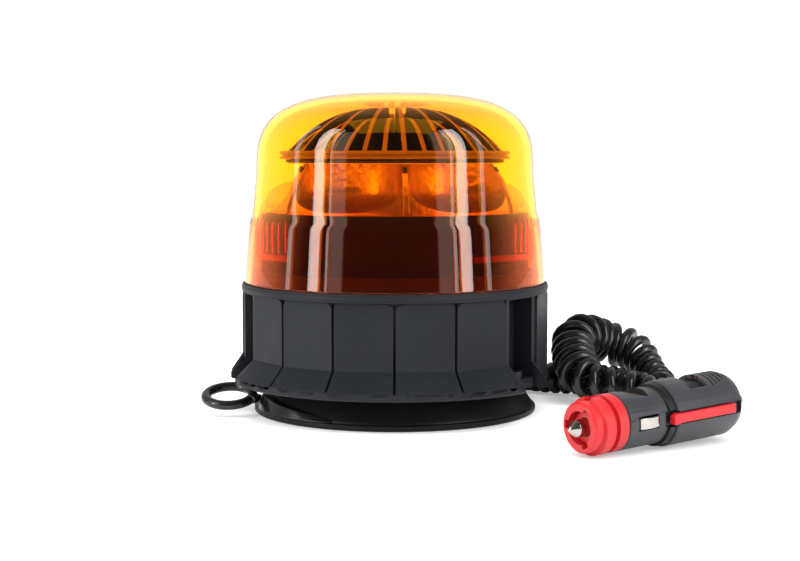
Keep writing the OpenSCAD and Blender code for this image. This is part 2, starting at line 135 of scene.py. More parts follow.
def filleted(corners: Sequence[Corner], closed: bool = False) -> list[Point2]:
    """Rounds the corners of an outline.

    Args:
        corners: Points (r, z, fillet radius).
        closed: Whether the last point joins the first.

    Returns:
        The outline's points with an arc at each corner that has a fillet.
    """
    count = len(corners)
    points: list[Point2] = []
    for i, (x, y, radius) in enumerate(corners):
        if radius <= 0 or (not closed and i in (0, count - 1)):
            points.append((x, y))
            continue
        here = Vector((x, y))
        before = Vector(corners[i - 1][:2]) - here
        after = Vector(corners[(i + 1) % count][:2]) - here
        half = before.angle(after) / 2
        reach = min(radius / math.tan(half), 0.49 * before.length, 0.49 * after.length)
        a, b = here + before.normalized() * reach, here + after.normalized() * reach
        for k in range(FILLET_STEPS + 1):
            t = k / FILLET_STEPS
            q = a * (1 - t) ** 2 + here * 2 * t * (1 - t) + b * t**2
            points.append((q.x, q.y))
    return points


def add_modifier(piece: bpy.types.Object, kind: str, **settings: object) -> None:
    """Adds a modifier with its settings.

    Args:
        piece: The object.
        kind: Blender's modifier type.
        **settings: Attributes of the modifier.
    """
    modifier = piece.modifiers.new(kind.title(), kind)
    for key, value in settings.items():
        setattr(modifier, key, value)


def bevel(piece: bpy.types.Object, width: float, angle: float, segments: int = 2, **settings: object) -> None:
    """Rounds a piece's sharp edges.

    Args:
        piece: The object.
        width: Bevel width in millimetres.
        angle: Edges sharper than this many degrees are rounded.
        segments: Segments of the rounding.
        **settings: More attributes of the modifier.
    """
    add_modifier(piece, "BEVEL", width=width * MM, segments=segments, limit_method="ANGLE",
                 angle_limit=math.radians(angle), **settings)


def even_shading(piece: bpy.types.Object) -> None:
    """Keeps the shading of a piece's large faces flat beside its rounded edges."""
    add_modifier(piece, "WEIGHTED_NORMAL", keep_sharp=False, weight=60)


def soften(piece: bpy.types.Object, width: float, angle: float = 30.0, segments: int = 2) -> None:
    """Rounds a piece's sharp edges and evens its shading.

    Args:
        piece: The object.
        width: Bevel width in millimetres.
        angle: Edges sharper than this many degrees are rounded.
        segments: Segments of the rounding.
    """
    bevel(piece, width, angle, segments, use_clamp_overlap=True, miter_outer="MITER_ARC")
    even_shading(piece)


def cut_by(piece: bpy.types.Object, tool: bpy.types.Object) -> None:
    """Takes a tool's volume out of a piece."""
    add_modifier(piece, "BOOLEAN", operation="DIFFERENCE", object=tool, solver="EXACT")


def turn_copies(piece: bpy.types.Object, count: int, step: float, place: Matrix | None = None) -> None:
    """Repeats a piece round the Z axis, and applies it.

    Args:
        piece: The object.
        count: How many copies there are in all.
        step: The angle from one to the next, in degrees.
        place: What is done to the whole set afterwards.
    """
    pivot = bpy.data.objects.new("turn_pivot", None)
    pivot.rotation_euler.z = math.radians(step)
    bpy.context.scene.collection.objects.link(pivot)
    add_modifier(piece, "ARRAY", count=count, use_relative_offset=False, use_object_offset=True,
                 offset_object=pivot)
    settle(piece, place)
    bpy.data.objects.remove(pivot)


def turned(name: str, outline: Sequence[Point2], steps: int = 128, closed: bool = True) -> bpy.types.Object:
    """Turns an outline about Z with a live Screw modifier.

    Args:
        name: The piece's name.
        outline: Points (r, z) in millimetres, down the outside and up the inside.
        steps: Steps of the turn.
        closed: Whether the outline is a loop.

    Returns:
        The piece.
    """
    bm = bmesh.new()
    verts = [bm.verts.new((r * MM, 0, z * MM)) for r, z in outline]
    for a, b in zip(verts, verts[1:], strict=False):
        bm.edges.new((a, b))
    if closed:
        bm.edges.new((verts[-1], verts[0]))
    piece = from_bmesh(name, bm)
    add_modifier(piece, "SCREW", axis="Z", angle=math.tau, steps=steps, render_steps=steps,
                 use_merge_vertices=True, merge_threshold=2e-5, use_smooth_shade=True)
    even_shading(piece)
    return piece


def settle(piece: bpy.types.Object, place: Matrix | None = None) -> bpy.types.Object:
    """Applies a piece's modifiers and then its place, so that its object is at the origin.

    Args:
        piece: The object.
        place: Where it goes, or None to leave it.

    Returns:
        The same object.
    """
    graph = bpy.context.evaluated_depsgraph_get()
    mesh = bpy.data.meshes.new_from_object(piece.evaluated_get(graph), depsgraph=graph)
    if piece.type != "MESH":
        name = piece.name
        bpy.data.objects.remove(piece)
        mesh.name = name
        piece = link(name, mesh)
    piece.modifiers.clear()
    piece.data = mesh
    if place is not None:
        mesh.transform(place)
    return piece


def merged(node: str, name: str) -> bpy.types.Object:
    """A copy of a CAD node with its triangles merged into whole faces.

    Args:
        node: The CAD node.
        name: The new piece's name.

    Returns:
        The new piece, which replaces the node.
    """
    source = bpy.data.objects[node]
    bm = bmesh.new()
    bm.from_mesh(source.data)
    for face in bm.faces:
        face.material_index = 0
    bmesh.ops.remove_doubles(bm, verts=bm.verts, dist=5e-6)
    bmesh.ops.dissolve_limit(bm, angle_limit=math.radians(0.6), verts=bm.verts, edges=bm.edges)
    piece = from_bmesh(name, bm)
    piece.data.set_sharp_from_angle(angle=math.radians(SHARP))
    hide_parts(node)
    return piece


def join_rows(bm: bmesh.types.BMesh, rows: Sequence[Sequence[bmesh.types.BMVert]]) -> None:
    """Joins rows of corners into a closed solid.

    Args:
        bm: Where the corners are.
        rows: The corners, a row at a time.
    """
    count = len(rows[0])
    faces = [bm.faces.new(rows[0]), bm.faces.new(list(reversed(rows[-1])))]
    for low, high in zip(rows, rows[1:], strict=False):
        for k in range(count):
            faces.append(bm.faces.new((low[k], high[k], high[(k + 1) % count], low[(k + 1) % count])))
    bmesh.ops.recalc_face_normals(bm, faces=faces)


def swept(points: Sequence[Vector], rings: Callable[[float], list[Point2]], up: Vector,
          bm: bmesh.types.BMesh | None = None) -> bmesh.types.BMesh:
    """Sweeps a changing section along a line.

    Args:
        points: The line, in metres.
        rings: The section's points (across, up) in metres, at 0 to 1 along the line.
        up: What the section's up leans towards.
        bm: Where the solid is added, or None for a new bmesh.

    Returns:
        The bmesh with the closed solid.
    """
    if bm is None:
        bm = bmesh.new()
    last = len(points) - 1
    rows = []
    for i, centre in enumerate(points):
        way = (points[min(i + 1, last)] - points[max(i - 1, 0)]).normalized()
        across = way.cross(up).normalized()
        above = across.cross(way)
        rows.append([bm.verts.new(centre + across * a + above * b) for a, b in rings(i / last)])
    join_rows(bm, rows)
    return bm


def flat_bar(half: float, thick: float) -> list[Point2]:
    """The section of a flat bar in metres, from half its width and half its thickness in millimetres."""
    corners = ((-half, -thick), (half, -thick), (half, thick), (-half, thick))
    return [(across * MM, above * MM) for across, above in corners]


def spline_point(points: Sequence[Vector], t: float) -> Vector:
    """A point on a smooth curve through the given points.

    Args:
        points: What the curve passes through.
        t: 0 at the first point and 1 at the last.

    Returns:
        The point.
    """
    last = len(points) - 1
    s = min(t * last, last - 1e-4)
    i = math.floor(s)
    u = s - i
    a, b = points[max(i - 1, 0)], points[i]
    c, d = points[i + 1], points[min(i + 2, last)]
    return 0.5 * (2 * b + (c - a) * u + (2 * a - 5 * b + 4 * c - d) * u**2 + (3 * b - a - 3 * c + d) * u**3)


def smooth(t: float) -> float:
    """Eases from 0 to 1 as t goes from 0 to 1."""
    t = min(max(t, 0.0), 1.0)
    return t * t * (3 - 2 * t)


# ---------------------------------------------------------------- finishes


@dataclass(frozen=True)
class Wiring:
    """A node tree, with short ways to add and join its nodes."""

    tree: bpy.types.NodeTree

    def feed(self, socket: bpy.types.NodeSocket, value: object) -> None:
        """Links a socket from another one, or sets its value."""
        if isinstance(value, bpy.types.NodeSocket):
            self.tree.links.new(value, socket)
        else:
            socket.default_value = value

    def node(self, kind: str, settings: dict[str, object] | None = None, **inputs: object) -> bpy.types.Node:
        """Adds a node.

        Args:
            kind: Blender's node type.
            settings: Attributes of the node, set before its inputs.
            **inputs: Values, or sockets to link from, by input name with _ for a space.

        Returns:
            The node.
        """
        made = self.tree.nodes.new(kind)
        for key, value in (settings or {}).items():
            setattr(made, key, value)
        for key, value in inputs.items():
            self.feed(made.inputs[key.replace("_", " ")], value)
        return made

    def maths(self, operation: str, *terms: bpy.types.NodeSocket | float) -> bpy.types.NodeSocket:
        """A calculation over sockets and numbers."""
        made = self.node("ShaderNodeMath", {"operation": operation})
        for socket, term in zip(made.inputs, terms, strict=False):
            self.feed(socket, term)
        return made.outputs[0]

    def ramp(self, source: bpy.types.NodeSocket, span: Point2,
             values: Point2 = (0.0, 1.0)) -> bpy.types.NodeSocket:
        """A straight ramp from one value to another over a span, held level outside it."""
        made = self.node("ShaderNodeMapRange", Value=source, From_Min=span[0], From_Max=span[1],
                         To_Min=values[0], To_Max=values[1])
        return made.outputs[0]

    def blend(self, share: bpy.types.NodeSocket, first: object, second: object) -> bpy.types.NodeSocket:
        """A mix of two colours, each a value or a socket."""
        made = self.node("ShaderNodeMix", {"data_type": "RGBA"}, Factor=share, A=first, B=second)
        return made.outputs["Result"]

    def noise(self, where: bpy.types.NodeSocket, scale: object, detail: float) -> bpy.types.NodeSocket:
        """A noise pattern, its scale a value or a socket."""
        return self.node("ShaderNodeTexNoise", Vector=where, Scale=scale, Detail=detail).outputs["Fac"]

    def bump(self, height: bpy.types.NodeSocket, strength: float, relief: float) -> bpy.types.NodeSocket:
        """The normal of a surface with a relief in millimetres."""
        made = self.node("ShaderNodeBump", Height=height, Strength=strength, Distance=relief * MM)
        return made.outputs["Normal"]


def finished(name: str, shade: Callable[[Wiring], bpy.types.NodeSocket]) -> bpy.types.Material:
    """Makes a material.

    Args:
        name: Its name.
        shade: Adds its nodes and gives the shader of its surface.

    Returns:
        The material.
    """
    material = bpy.data.materials.new(name)
    material.use_nodes = True
    material.node_tree.nodes.clear()
    wiring = Wiring(material.node_tree)
    wiring.node("ShaderNodeOutputMaterial", Surface=shade(wiring))
    return material


def rgba(colour: Colour) -> tuple[float, float, float, float]:
    """A colour with full alpha."""
    return (*colour, 1.0)


def moulded_group() -> bpy.types.NodeTree:
    """The shared surface of moulded plastic and rubber: grain, soft blotches and a film of dust.

    Returns:
        The node group, made once.
    """
    name = "moulded_surface"
    if name in bpy.data.node_groups:
        return bpy.data.node_groups[name]
    tree = bpy.data.node_groups.new(name, "ShaderNodeTree")
    for label, kind, default in (
        ("Colour", "NodeSocketColor", (0.05, 0.05, 0.05, 1)),
        ("Dust Colour", "NodeSocketColor", (0.3, 0.3, 0.3, 1)),
        ("Dust", "NodeSocketFloat", 0.1),
        ("Grain Scale", "NodeSocketFloat", 1300.0),
        ("Roughness", "NodeSocketFloat", 0.5),
        ("Spread", "NodeSocketFloat", 0.1),
    ):
        socket = tree.interface.new_socket(label, in_out="INPUT", socket_type=kind)
        socket.default_value = default
    for label, kind in (
        ("Colour", "NodeSocketColor"), ("Roughness", "NodeSocketFloat"), ("Height", "NodeSocketFloat"),
    ):
        tree.interface.new_socket(label, in_out="OUTPUT", socket_type=kind)
    wiring = Wiring(tree)
    given = wiring.node("NodeGroupInput").outputs
    where = wiring.node("ShaderNodeTexCoord").outputs["Object"]
    grain = wiring.noise(where, given["Grain Scale"], 3)
    blotch = wiring.noise(where, 55, 4)
    dust = wiring.maths("MULTIPLY", blotch, given["Dust"])
    colour = wiring.blend(dust, given["Colour"], given["Dust Colour"])
    centred = wiring.maths("SUBTRACT", blotch, 0.5)
    roughness = wiring.maths("MULTIPLY_ADD", centred, given["Spread"], given["Roughness"])
    wiring.node("NodeGroupOutput", Colour=colour, Roughness=roughness, Height=grain)
    return tree


@dataclass(frozen=True)
class Moulded:
    """A moulded plastic or rubber finish."""

    name: str
    colour: Colour
    roughness: float = 0.5
    grain: Grain = Grain.MEDIUM
    relief: float = 0.03
    dust: float = 0.06
    dust_colour: Colour = (0.35, 0.36, 0.38)
    coat: float = 0.0
    specular: float = 0.35

    def shade(self, wiring: Wiring) -> bpy.types.NodeSocket:
        """Adds its nodes and gives its shader."""
        surface = wiring.node(
            "ShaderNodeGroup", {"node_tree": moulded_group()}, Colour=rgba(self.colour),
            Dust_Colour=rgba(self.dust_colour), Dust=self.dust, Grain_Scale=self.grain.value,
            Roughness=self.roughness, Spread=0.22,
        ).outputs
        return wiring.node(
            "ShaderNodeBsdfPrincipled", Base_Color=surface["Colour"], Roughness=surface["Roughness"],
            Normal=wiring.bump(surface["Height"], 0.5, self.relief), Specular_IOR_Level=self.specular,
            Coat_Weight=self.coat, Coat_Roughness=0.15,
        ).outputs[0]


@dataclass(frozen=True)
class Metal:
    """A bare, plated or metallised finish."""

    name: str
    colour: Colour
    roughness: float = 0.25
    brushed: float = 0.0
    ripple: float = 0.0

    def shade(self, wiring: Wiring) -> bpy.types.NodeSocket:
        """Adds its nodes and gives its shader."""
        where = wiring.node("ShaderNodeTexCoord").outputs["Object"]
        stretched = wiring.node("ShaderNodeMapping", Vector=where, Scale=(300, 300, 40)).outputs[0]
        lines = wiring.noise(stretched, 3.0, 5.0)
        span = (max(self.roughness - 0.08, 0.02), self.roughness + 0.08 + self.brushed)
        waves = wiring.noise(where, 420.0, 1.0)
        return wiring.node(
            "ShaderNodeBsdfPrincipled", Base_Color=rgba(self.colour), Metallic=1.0,
            Roughness=wiring.ramp(lines, (0.0, 1.0), span), Normal=wiring.bump(waves, 0.6, self.ripple),
        ).outputs[0]


@dataclass(frozen=True)
class AmberLens:
    """Clear amber plastic: yellow above, redder in the lower band and brownish where it is seen edge on.

    Its light path part lets lamps reach what is inside.
    """

    name: str
    upper: Colour
    lower: Colour
    shade_colour: Colour
    rim: Colour
    turn_z: float
    turn_half: float = 6.0
    rim_span: Point2 = (0.76, 0.9)

    def shade(self, wiring: Wiring) -> bpy.types.NodeSocket:
        """Adds its nodes and gives its shader."""
        where = wiring.node("ShaderNodeTexCoord").outputs["Object"]
        height = wiring.node("ShaderNodeSeparateXYZ", Vector=where).outputs["Z"]
        low, high = (self.turn_z - self.turn_half) * MM, (self.turn_z + self.turn_half) * MM
        share = wiring.ramp(height, (low, high))
        tint = wiring.blend(share, rgba(self.lower), rgba(self.upper))
        facing = wiring.node("ShaderNodeLayerWeight", Blend=0.5).outputs["Facing"]
        edged = wiring.blend(wiring.ramp(facing, self.rim_span), tint, rgba(self.rim))
        glass = wiring.node("ShaderNodeBsdfPrincipled", Base_Color=edged, Roughness=0.0, IOR=1.49,
                            Transmission_Weight=1.0)
        clear = wiring.node("ShaderNodeBsdfTransparent", Color=rgba(self.shade_colour))
        path = wiring.node("ShaderNodeLightPath").outputs
        mix = wiring.node("ShaderNodeMixShader", Fac=path["Is Shadow Ray"])
        wiring.feed(mix.inputs[1], glass.outputs[0])
        wiring.feed(mix.inputs[2], clear.outputs[0])
        return mix.outputs[0]


class Finishes:
    """Every finish of the beacon, built on first use."""

    LENS = AmberLens(
        "amber_lens", (1.0, 0.44, 0.02), (1.0, 0.2, 0.035), (1.0, 0.58, 0.16), (0.24, 0.2, 0.14), turn_z=81.0,
    )
    HOUSING = Moulded("housing_plastic", (0.0058, 0.0072, 0.0097), 0.5, Grain.FINE, dust=0.015, specular=0.25)
    RUBBER = Moulded("foot_rubber", (0.003, 0.0032, 0.0035), 0.42, Grain.COARSE, 0.02, 0.01, specular=0.22)
    RING = Moulded("ring_rubber", (0.006, 0.006, 0.0065), 0.22, Grain.COARSE, 0.01, 0.01, specular=0.6)
    DRUM = Moulded("drum_plastic", (0.006, 0.006, 0.006), 0.55, Grain.FINE, 0.01, 0.01, specular=0.05)
    # Painted shade: the fins' side faces are near-black for the shade in the deep gaps between fins; the
    # sink's own colour is the lighter edge finish below.
    SINK_SIDE_SHADE = Moulded("sink_anodised", (0.006, 0.005, 0.004), 0.5, dust=0.01, specular=0.1)
    SINK_EDGE = Moulded("sink_edges", (0.17, 0.15, 0.13), 0.4, dust=0.1, dust_colour=(0.4, 0.35, 0.3))
    JACKET = Moulded("cord_jacket", (0.005, 0.005, 0.0055), 0.26, Grain.COARSE, 0.01, 0.01, specular=0.6)
    PLUG = Moulded("plug_plastic", (0.026, 0.026, 0.03), 0.33, Grain.FINE, 0.015, 0.04, specular=0.45)
    # Near-black collar plastic: the collar's own colour, and also painted shade in the plug shell's thumb
    # recess and scoop.
    COLLAR_AND_RECESS_SHADE = Moulded("collar_plastic", (0.004, 0.004, 0.0045), 0.4, Grain.FINE, 0.01, 0.01)
    RED = Moulded(
        "red_plastic", (0.5, 0.011, 0.014), 0.32, relief=0.01, dust=0.02, dust_colour=(0.9, 0.3, 0.3),
        coat=0.15,
    )
    SEAL = Moulded("seal_rubber", (0.012, 0.012, 0.012), 0.6, relief=0.02, dust=0.05)
    BOARD = Moulded("board_mask", (0.03, 0.2, 0.08), 0.35, relief=0.01, dust=0.04)
    WHITE_BOARD = Moulded("white_board", (0.75, 0.75, 0.72), 0.4, relief=0.01, dust=0.04)
    CONNECTOR = Moulded("connector_plastic", (0.7, 0.66, 0.55), 0.45)
    CAN = Moulded("capacitor_sleeve", (0.04, 0.06, 0.2), 0.3)
    WINDING = Moulded("copper_winding", (0.35, 0.14, 0.06), 0.35, Grain.COARSE, 0.15)
    CHIP = Moulded("chip_epoxy", (0.02, 0.02, 0.02), 0.6)
    WIRE_RED = Moulded("wire_red", (0.5, 0.02, 0.02), 0.4)
    WIRE_YELLOW = Moulded("wire_yellow", (0.6, 0.4, 0.04), 0.4)
    PAD = Moulded("thermal_pad", (0.3, 0.31, 0.33), 0.8)
    VENT = Moulded("vent_plastic", (0.6, 0.6, 0.56), 0.6)
    CLIP = Moulded("clip_plastic", (0.02, 0.015, 0.01), 0.4)
    LED = Moulded("led_silicone", (0.9, 0.62, 0.12), 0.2, relief=0.0)
    FERRITE = Moulded("magnet_ferrite", (0.05, 0.05, 0.052), 0.7, relief=0.05, dust=0.2)
    FUSE = Moulded("fuse_glass", (0.6, 0.65, 0.68), 0.1)
    REFLECTOR = Metal("metallised_bowl", (0.58, 0.42, 0.26), 0.3, ripple=0.4)
    DARK_STEEL = Metal("blackened_steel", (0.05, 0.05, 0.055), 0.45)
    STEEL = Metal("plated_steel", (0.6, 0.61, 0.62), 0.32, brushed=0.1)
    NICKEL = Metal("nickel_plate", (0.5, 0.47, 0.43), 0.22)
    BRASS = Metal("brass", (0.7, 0.5, 0.2), 0.3)

    def __init__(self) -> None:
        """No material is built yet."""
        self._built: dict[str, bpy.types.Material] = {}

    def dress(self, piece: bpy.types.Object, *coats: "Moulded | Metal | AmberLens") -> bpy.types.Object:
        """Gives a piece its finishes.

        Args:
            piece: The object.
            *coats: What its first, second and later kinds of face are made of.

        Returns:
            The same object.
        """
        for finish in coats:
            if finish.name not in self._built:
                self._built[finish.name] = finished(finish.name, finish.shade)
            piece.data.materials.append(self._built[finish.name])
        return piece


def hand_over(piece: bpy.types.Object, body: str = BODY) -> bpy.types.Object:
    """Sets a piece on its CAD body, and logs it.

    Args:
        piece: The object.
        body: The CAD body that it rides on.

    Returns:
        The same object.
    """
    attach(piece, body)
    LOG.info("%s rides on %s", piece.name, body)
    return piece


# ---------------------------------------------------------------- camera and cord


@dataclass(frozen=True)
class Studio:
    """The camera, the pale floor and the soft light.

    The camera's place is in millimetres, and the lamps' places and sizes are in metres.
    """

    camera_at: Point2 = (2.1, -656.0)
    camera_z: float = 107.8
    pitch: float = 85.25
    lens_mm: float = 71.4
    backdrop: float = 3.9
    ambient: float = 1.02
    aim_z: float = 0.07
    lamp_z: float = 0.68

    def add_camera(self) -> None:
        """Makes the camera and sets it as the scene's."""
        data = bpy.data.cameras.new("camera")
        data.lens, data.sensor_width = self.lens_mm, 36
        camera = bpy.data.objects.new("camera", data)
        camera.location = Vector((*self.camera_at, self.camera_z)) * MM
        camera.rotation_euler = (math.radians(self.pitch), 0, 0)
        bpy.context.scene.collection.objects.link(camera)
        bpy.context.scene.camera = camera

    def add_floor(self) -> None:
        """A wide matt white floor."""
        bm = bmesh.new()
        bmesh.ops.create_grid(bm, x_segments=2, y_segments=2, size=6.0)
        floor = from_bmesh("floor", bm)
        floor.location.z = -0.2 * MM
        floor.data.materials.append(finished("floor_white", self.shade_floor))

    def shade_floor(self, wiring: Wiring) -> bpy.types.NodeSocket:
        """Adds the floor's nodes: white, and brighter to the camera and through the lens."""
        path = wiring.node("ShaderNodeLightPath").outputs
        lift = wiring.maths("MULTIPLY", path["Is Camera Ray"], 0.3)
        strength = wiring.maths("MULTIPLY_ADD", path["Is Transmission Ray"], 1.6, lift)
        return wiring.node(
            "ShaderNodeBsdfPrincipled", Base_Color=(0.85, 0.85, 0.86, 1), Roughness=0.7,
            Emission_Color=(1, 1, 1, 1), Emission_Strength=strength,
        ).outputs[0]

    def add_softbox(self, name: str, azimuth: float, distance: float, height: float, size: Point2,
                    power: float) -> bpy.types.Object:
        """A rectangular soft light that faces the beacon.

        Args:
            name: The light's name.
            azimuth: Where it stands, in degrees from the front towards +X.
            distance: How far off, in metres.
            height: Its centre's height in metres.
            size: Its width and height in metres.
            power: Its power in watts.

        Returns:
            The light.
        """
        data = bpy.data.lights.new(name, "AREA")
        data.shape, data.size, data.size_y, data.energy = "RECTANGLE", *size, power
        lamp = bpy.data.objects.new(name, data)
        turn = math.radians(azimuth)
        lamp.location = (math.sin(turn) * distance, -math.cos(turn) * distance, height)
        aim = Vector((0, 0, self.aim_z)) - lamp.location
        lamp.rotation_euler = aim.to_track_quat("-Z", "Y").to_euler()
        bpy.context.scene.collection.objects.link(lamp)
        return lamp

    def add_surroundings(self) -> None:
        """White surroundings that look darker in reflections and bright through the lens."""
        world = bpy.data.worlds.new("studio")
        bpy.context.scene.world = world
        world.use_nodes = True
        world.node_tree.nodes.clear()
        wiring = Wiring(world.node_tree)
        path = wiring.node("ShaderNodeLightPath").outputs
        where = wiring.node("ShaderNodeTexCoord").outputs["Generated"]
        way = wiring.node("ShaderNodeSeparateXYZ", Vector=where).outputs
        behind = wiring.ramp(way["Y"], (-0.25, 0.35))
        mirror = wiring.ramp(way["Y"], (-0.2, 0.9), (0.05, 0.65))
        level = wiring.ramp(way["Z"], (0.1, 0.9), (self.backdrop, self.backdrop * 0.25))
        through = wiring.maths("MULTIPLY_ADD", behind, level, 0.15)
        is_mirror = wiring.maths("SUBTRACT", path["Is Reflection Ray"], path["Is Diffuse Ray"])
        straight = wiring.maths("SUBTRACT", path["Is Transmission Ray"], path["Diffuse Depth"])
        is_through = wiring.maths("GREATER_THAN", straight, 0.5)
        plain = wiring.maths("SUBTRACT", wiring.maths("SUBTRACT", 1.0, is_mirror), is_through)
        total = wiring.maths("MULTIPLY_ADD", is_mirror, mirror, wiring.maths("MULTIPLY", is_through, through))
        total = wiring.maths("MULTIPLY_ADD", plain, self.ambient, total)
        light = wiring.node("ShaderNodeBackground", Color=(1, 1, 1, 1), Strength=total)
        wiring.node("ShaderNodeOutputWorld", Surface=light.outputs[0])

    def add_softboxes(self) -> None:
        """The strips and panels on both sides, and the large one overhead."""
        for name, azimuth, distance, size, power in (
            ("left_strip", -62.8, 1.6, (0.28, 1.7), 14),
            ("right_strip", 55.0, 1.6, (0.29, 1.7), 14),
            ("left_line", -52, 1.6, (0.06, 1.7), 1.5),
            ("left_panel", -44.6, 1.7, (0.34, 1.6), 1.8),
            ("left_far", -86.5, 1.6, (0.13, 1.7), 2.5),
            ("right_line", 46.3, 1.6, (0.09, 1.7), 2.2),
            ("right_panel", 38.3, 1.7, (0.35, 1.6), 1.8),
            ("right_far", 74.3, 1.6, (0.13, 1.7), 2.5),
        ):
            self.add_softbox(name, azimuth, distance, self.lamp_z, size, power)
        self.add_softbox("overhead", 0, 0.5, 1.7, (1.6, 1.2), 20).visible_glossy = False


@dataclass(frozen=True)
class CurlyCord:
    """The cord, from the gland behind the base, through its coil, to the plug's tail.

    The stretch, loop and slim spans and their eases are shares of the coil's length.
    """

    wire_d: float = 4.2
    coil_d: float = 14.0
    pitch: float = 4.6
    stretched_pitch: float = 8.6
    stretch: Point2 = (0.8, 0.875)
    stretch_ease: float = 0.03
    still_loose: float = 0.15
    loop: Point2 = (0.54, 0.77)
    loop_ease: Point2 = (0.07, 0.05)
    loop_swell: float = 0.58
    slim: Point2 = (0.38, 0.52)
    slim_ease: float = 0.04
    slim_by: float = 0.12
    tightest: float = 1.04
    bend_share: float = 0.6
    end_tapers: Point2 = (6.0, 7.0)
    points_per_turn: int = 18
    fine_steps: int = 1600
    base_route: tuple[Point3, ...] = (
        (-36, 51.5, 7), (-31, 55, 7), (-25.5, 60, 7), (-19, 66.5, 7), (-13.5, 71.5, 7), (-8.5, 74.2, 7),
    )
    coil_route: tuple[Point3, ...] = (
        (-9, 74, 7), (8, 78, 7), (24, 76.5, 7), (38, 70, 7), (50.5, 58.5, 7), (60.5, 46.5, 7),
        (68, 40, 7), (77, 36, 7), (85, 33.5, 7), (92, 30, 7), (97.5, 24, 7), (101.5, 17.5, 7),
        (105.5, 11.5, 7), (111, 11, 7), (114.5, 16, 7.2), (113.5, 22.5, 8.6), (111, 29, 12),
        (108.5, 35.5, 16), (105, 41, 18.6), (99.5, 45, 20.4), (94.5, 45.5, 21.8), (89.5, 44, 23.8),
        (83.5, 39, 25.8), (78.6, 33, 25), (77.2, 26, 20.8), (77.4, 19, 16.6), (78.8, 13, 12.8),
        (81.8, 8.5, 10.6), (87, 5, 10), (94, 1.5, 9.4), (101, -3, 8.3), (107, -8.5, 7.4),
        (113, -15, 7), (119, -25, 7), (125, -36, 7),
    )
    plug_route: tuple[Point3, ...] = (
        (125, -35.5, 7), (127.5, -41.5, 7.6), (129.8, -48, 9.2), (130.8, -55, 11.6), (129.4, -61.5, 13.4),
        (126, -65.6, 13.9), (123.2, -67.6, 13.8),
    )

    def looseness(self, share: float) -> float:
        """How far the coil is stretched, 0 to 1, at a share of its length."""
        start, end = self.stretch
        eased = smooth((share - end) / self.stretch_ease)
        return smooth((share - start) / self.stretch_ease) * (1 - (1 - self.still_loose) * eased)

    def swell(self, share: float) -> float:
        """How much wider or slimmer than usual the coil is at a share of its length."""
        start, end = self.loop
        ease_in, ease_out = self.loop_ease
        wide = self.loop_swell * smooth((share - start) / ease_in) * (1 - smooth((share - end) / ease_out))
        start, end = self.slim
        ease = self.slim_ease
        thin = self.slim_by * smooth((share - start) / ease) * (1 - smooth((share - end) / ease))
        return 1 + wide - thin

    def pitch_at(self, share: float, radius: float, bend: float) -> float:
        """The distance between two turns, kept above the wire's thickness on the inside of a bend.

        Args:
            share: Where along the coil, 0 to 1.
            radius: The helix's radius there, in metres.
            bend: The curvature of the coil's centre line, per metre.

        Returns:
            The pitch in metres.
        """
        pitch = (self.pitch + (self.stretched_pitch - self.pitch) * self.looseness(share)) * MM
        squeeze = min(self.bend_share * radius * bend, self.bend_share)
        pitch = max(pitch, self.wire_d * self.tightest * MM / (1 - squeeze))
        return pitch * (1 + 0.03 * math.sin(share * 47))

    def coil_line(self) -> list[Vector]:
        """The helix round the coil's centre line, looser where the coil bends or is stretched.

        Returns:
            Its points in metres.
        """
        route = [Vector(p) * MM for p in self.coil_route]
        fine = [spline_point(route, i / self.fine_steps) for i in range(self.fine_steps + 1)]
        spans = [(b - a).length for a, b in zip(fine, fine[1:], strict=False)]
        total = sum(spans)
        across = Vector((0, 0, 1))
        turn, walked, due = 0.0, 0.0, 0.0
        line = []
        for i, length in enumerate(spans):
            way = (fine[i + 1] - fine[i]).normalized()
            low, high = max(i - 30, 1), min(i + 30, self.fine_steps - 1)
            bend = (fine[high + 1] - fine[high]).angle(fine[low] - fine[low - 1]) / sum(spans[low:high])
            across = (across - way * across.dot(way)).normalized()
            side = way.cross(across)
            share = walked / total
            radius = (self.coil_d - self.wire_d) / 2 * MM * self.swell(share)
            pitch = self.pitch_at(share, radius, bend)
            ends = min(walked / (self.end_tapers[0] * MM), (total - walked) / (self.end_tapers[1] * MM), 1.0)
            reach = radius * math.sin(ends * math.pi / 2)
            for k in range(6):
                turn += math.tau * length / 6 / pitch
                if turn >= due:
                    due += math.tau / self.points_per_turn
                    centre = fine[i].lerp(fine[i + 1], k / 6)
                    line.append(centre + (across * math.cos(turn) + side * math.sin(turn)) * reach)
            walked += length
        return line

    def build(self, finishes: Finishes) -> bpy.types.Object:
        """Makes the cord as one open spline.

        Args:
            finishes: Where its finish comes from.

        Returns:
            The cord.
        """
        base = [Vector(p) * MM for p in self.base_route]
        plug = [Vector(p) * MM for p in self.plug_route]
        lead_in = [spline_point(base, i / 24) for i in range(24)]
        lead_out = [spline_point(plug, i / 30) for i in range(1, 31)]
        line = lead_in + self.coil_line() + lead_out
        data = bpy.data.curves.new("curly_wire", "CURVE")
        data.dimensions = "3D"
        spline = data.splines.new("POLY")
        spline.points.add(len(line) - 1)
        for point, at in zip(spline.points, line, strict=True):
            point.co = (*at, 1)
        spline.use_smooth = True
        data.bevel_depth = self.wire_d / 2 * MM
        data.bevel_resolution = 4
        data.use_fill_caps = True
        cord = bpy.data.objects.new("curly_wire", data)
        bpy.context.scene.collection.objects.link(cord)
        finishes.dress(cord, Finishes.JACKET)
        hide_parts("cord_lead_base", "curly_cord", "cord_lead_plug")
        return hand_over(cord)

    @staticmethod
    def carries(node: str) -> bool:
        """Whether a CAD node is part of the plug."""
        return node.startswith(("plug_", "tip_", "fuse", "side_contact", "lock_slider"))


# ---------------------------------------------------------------- lens


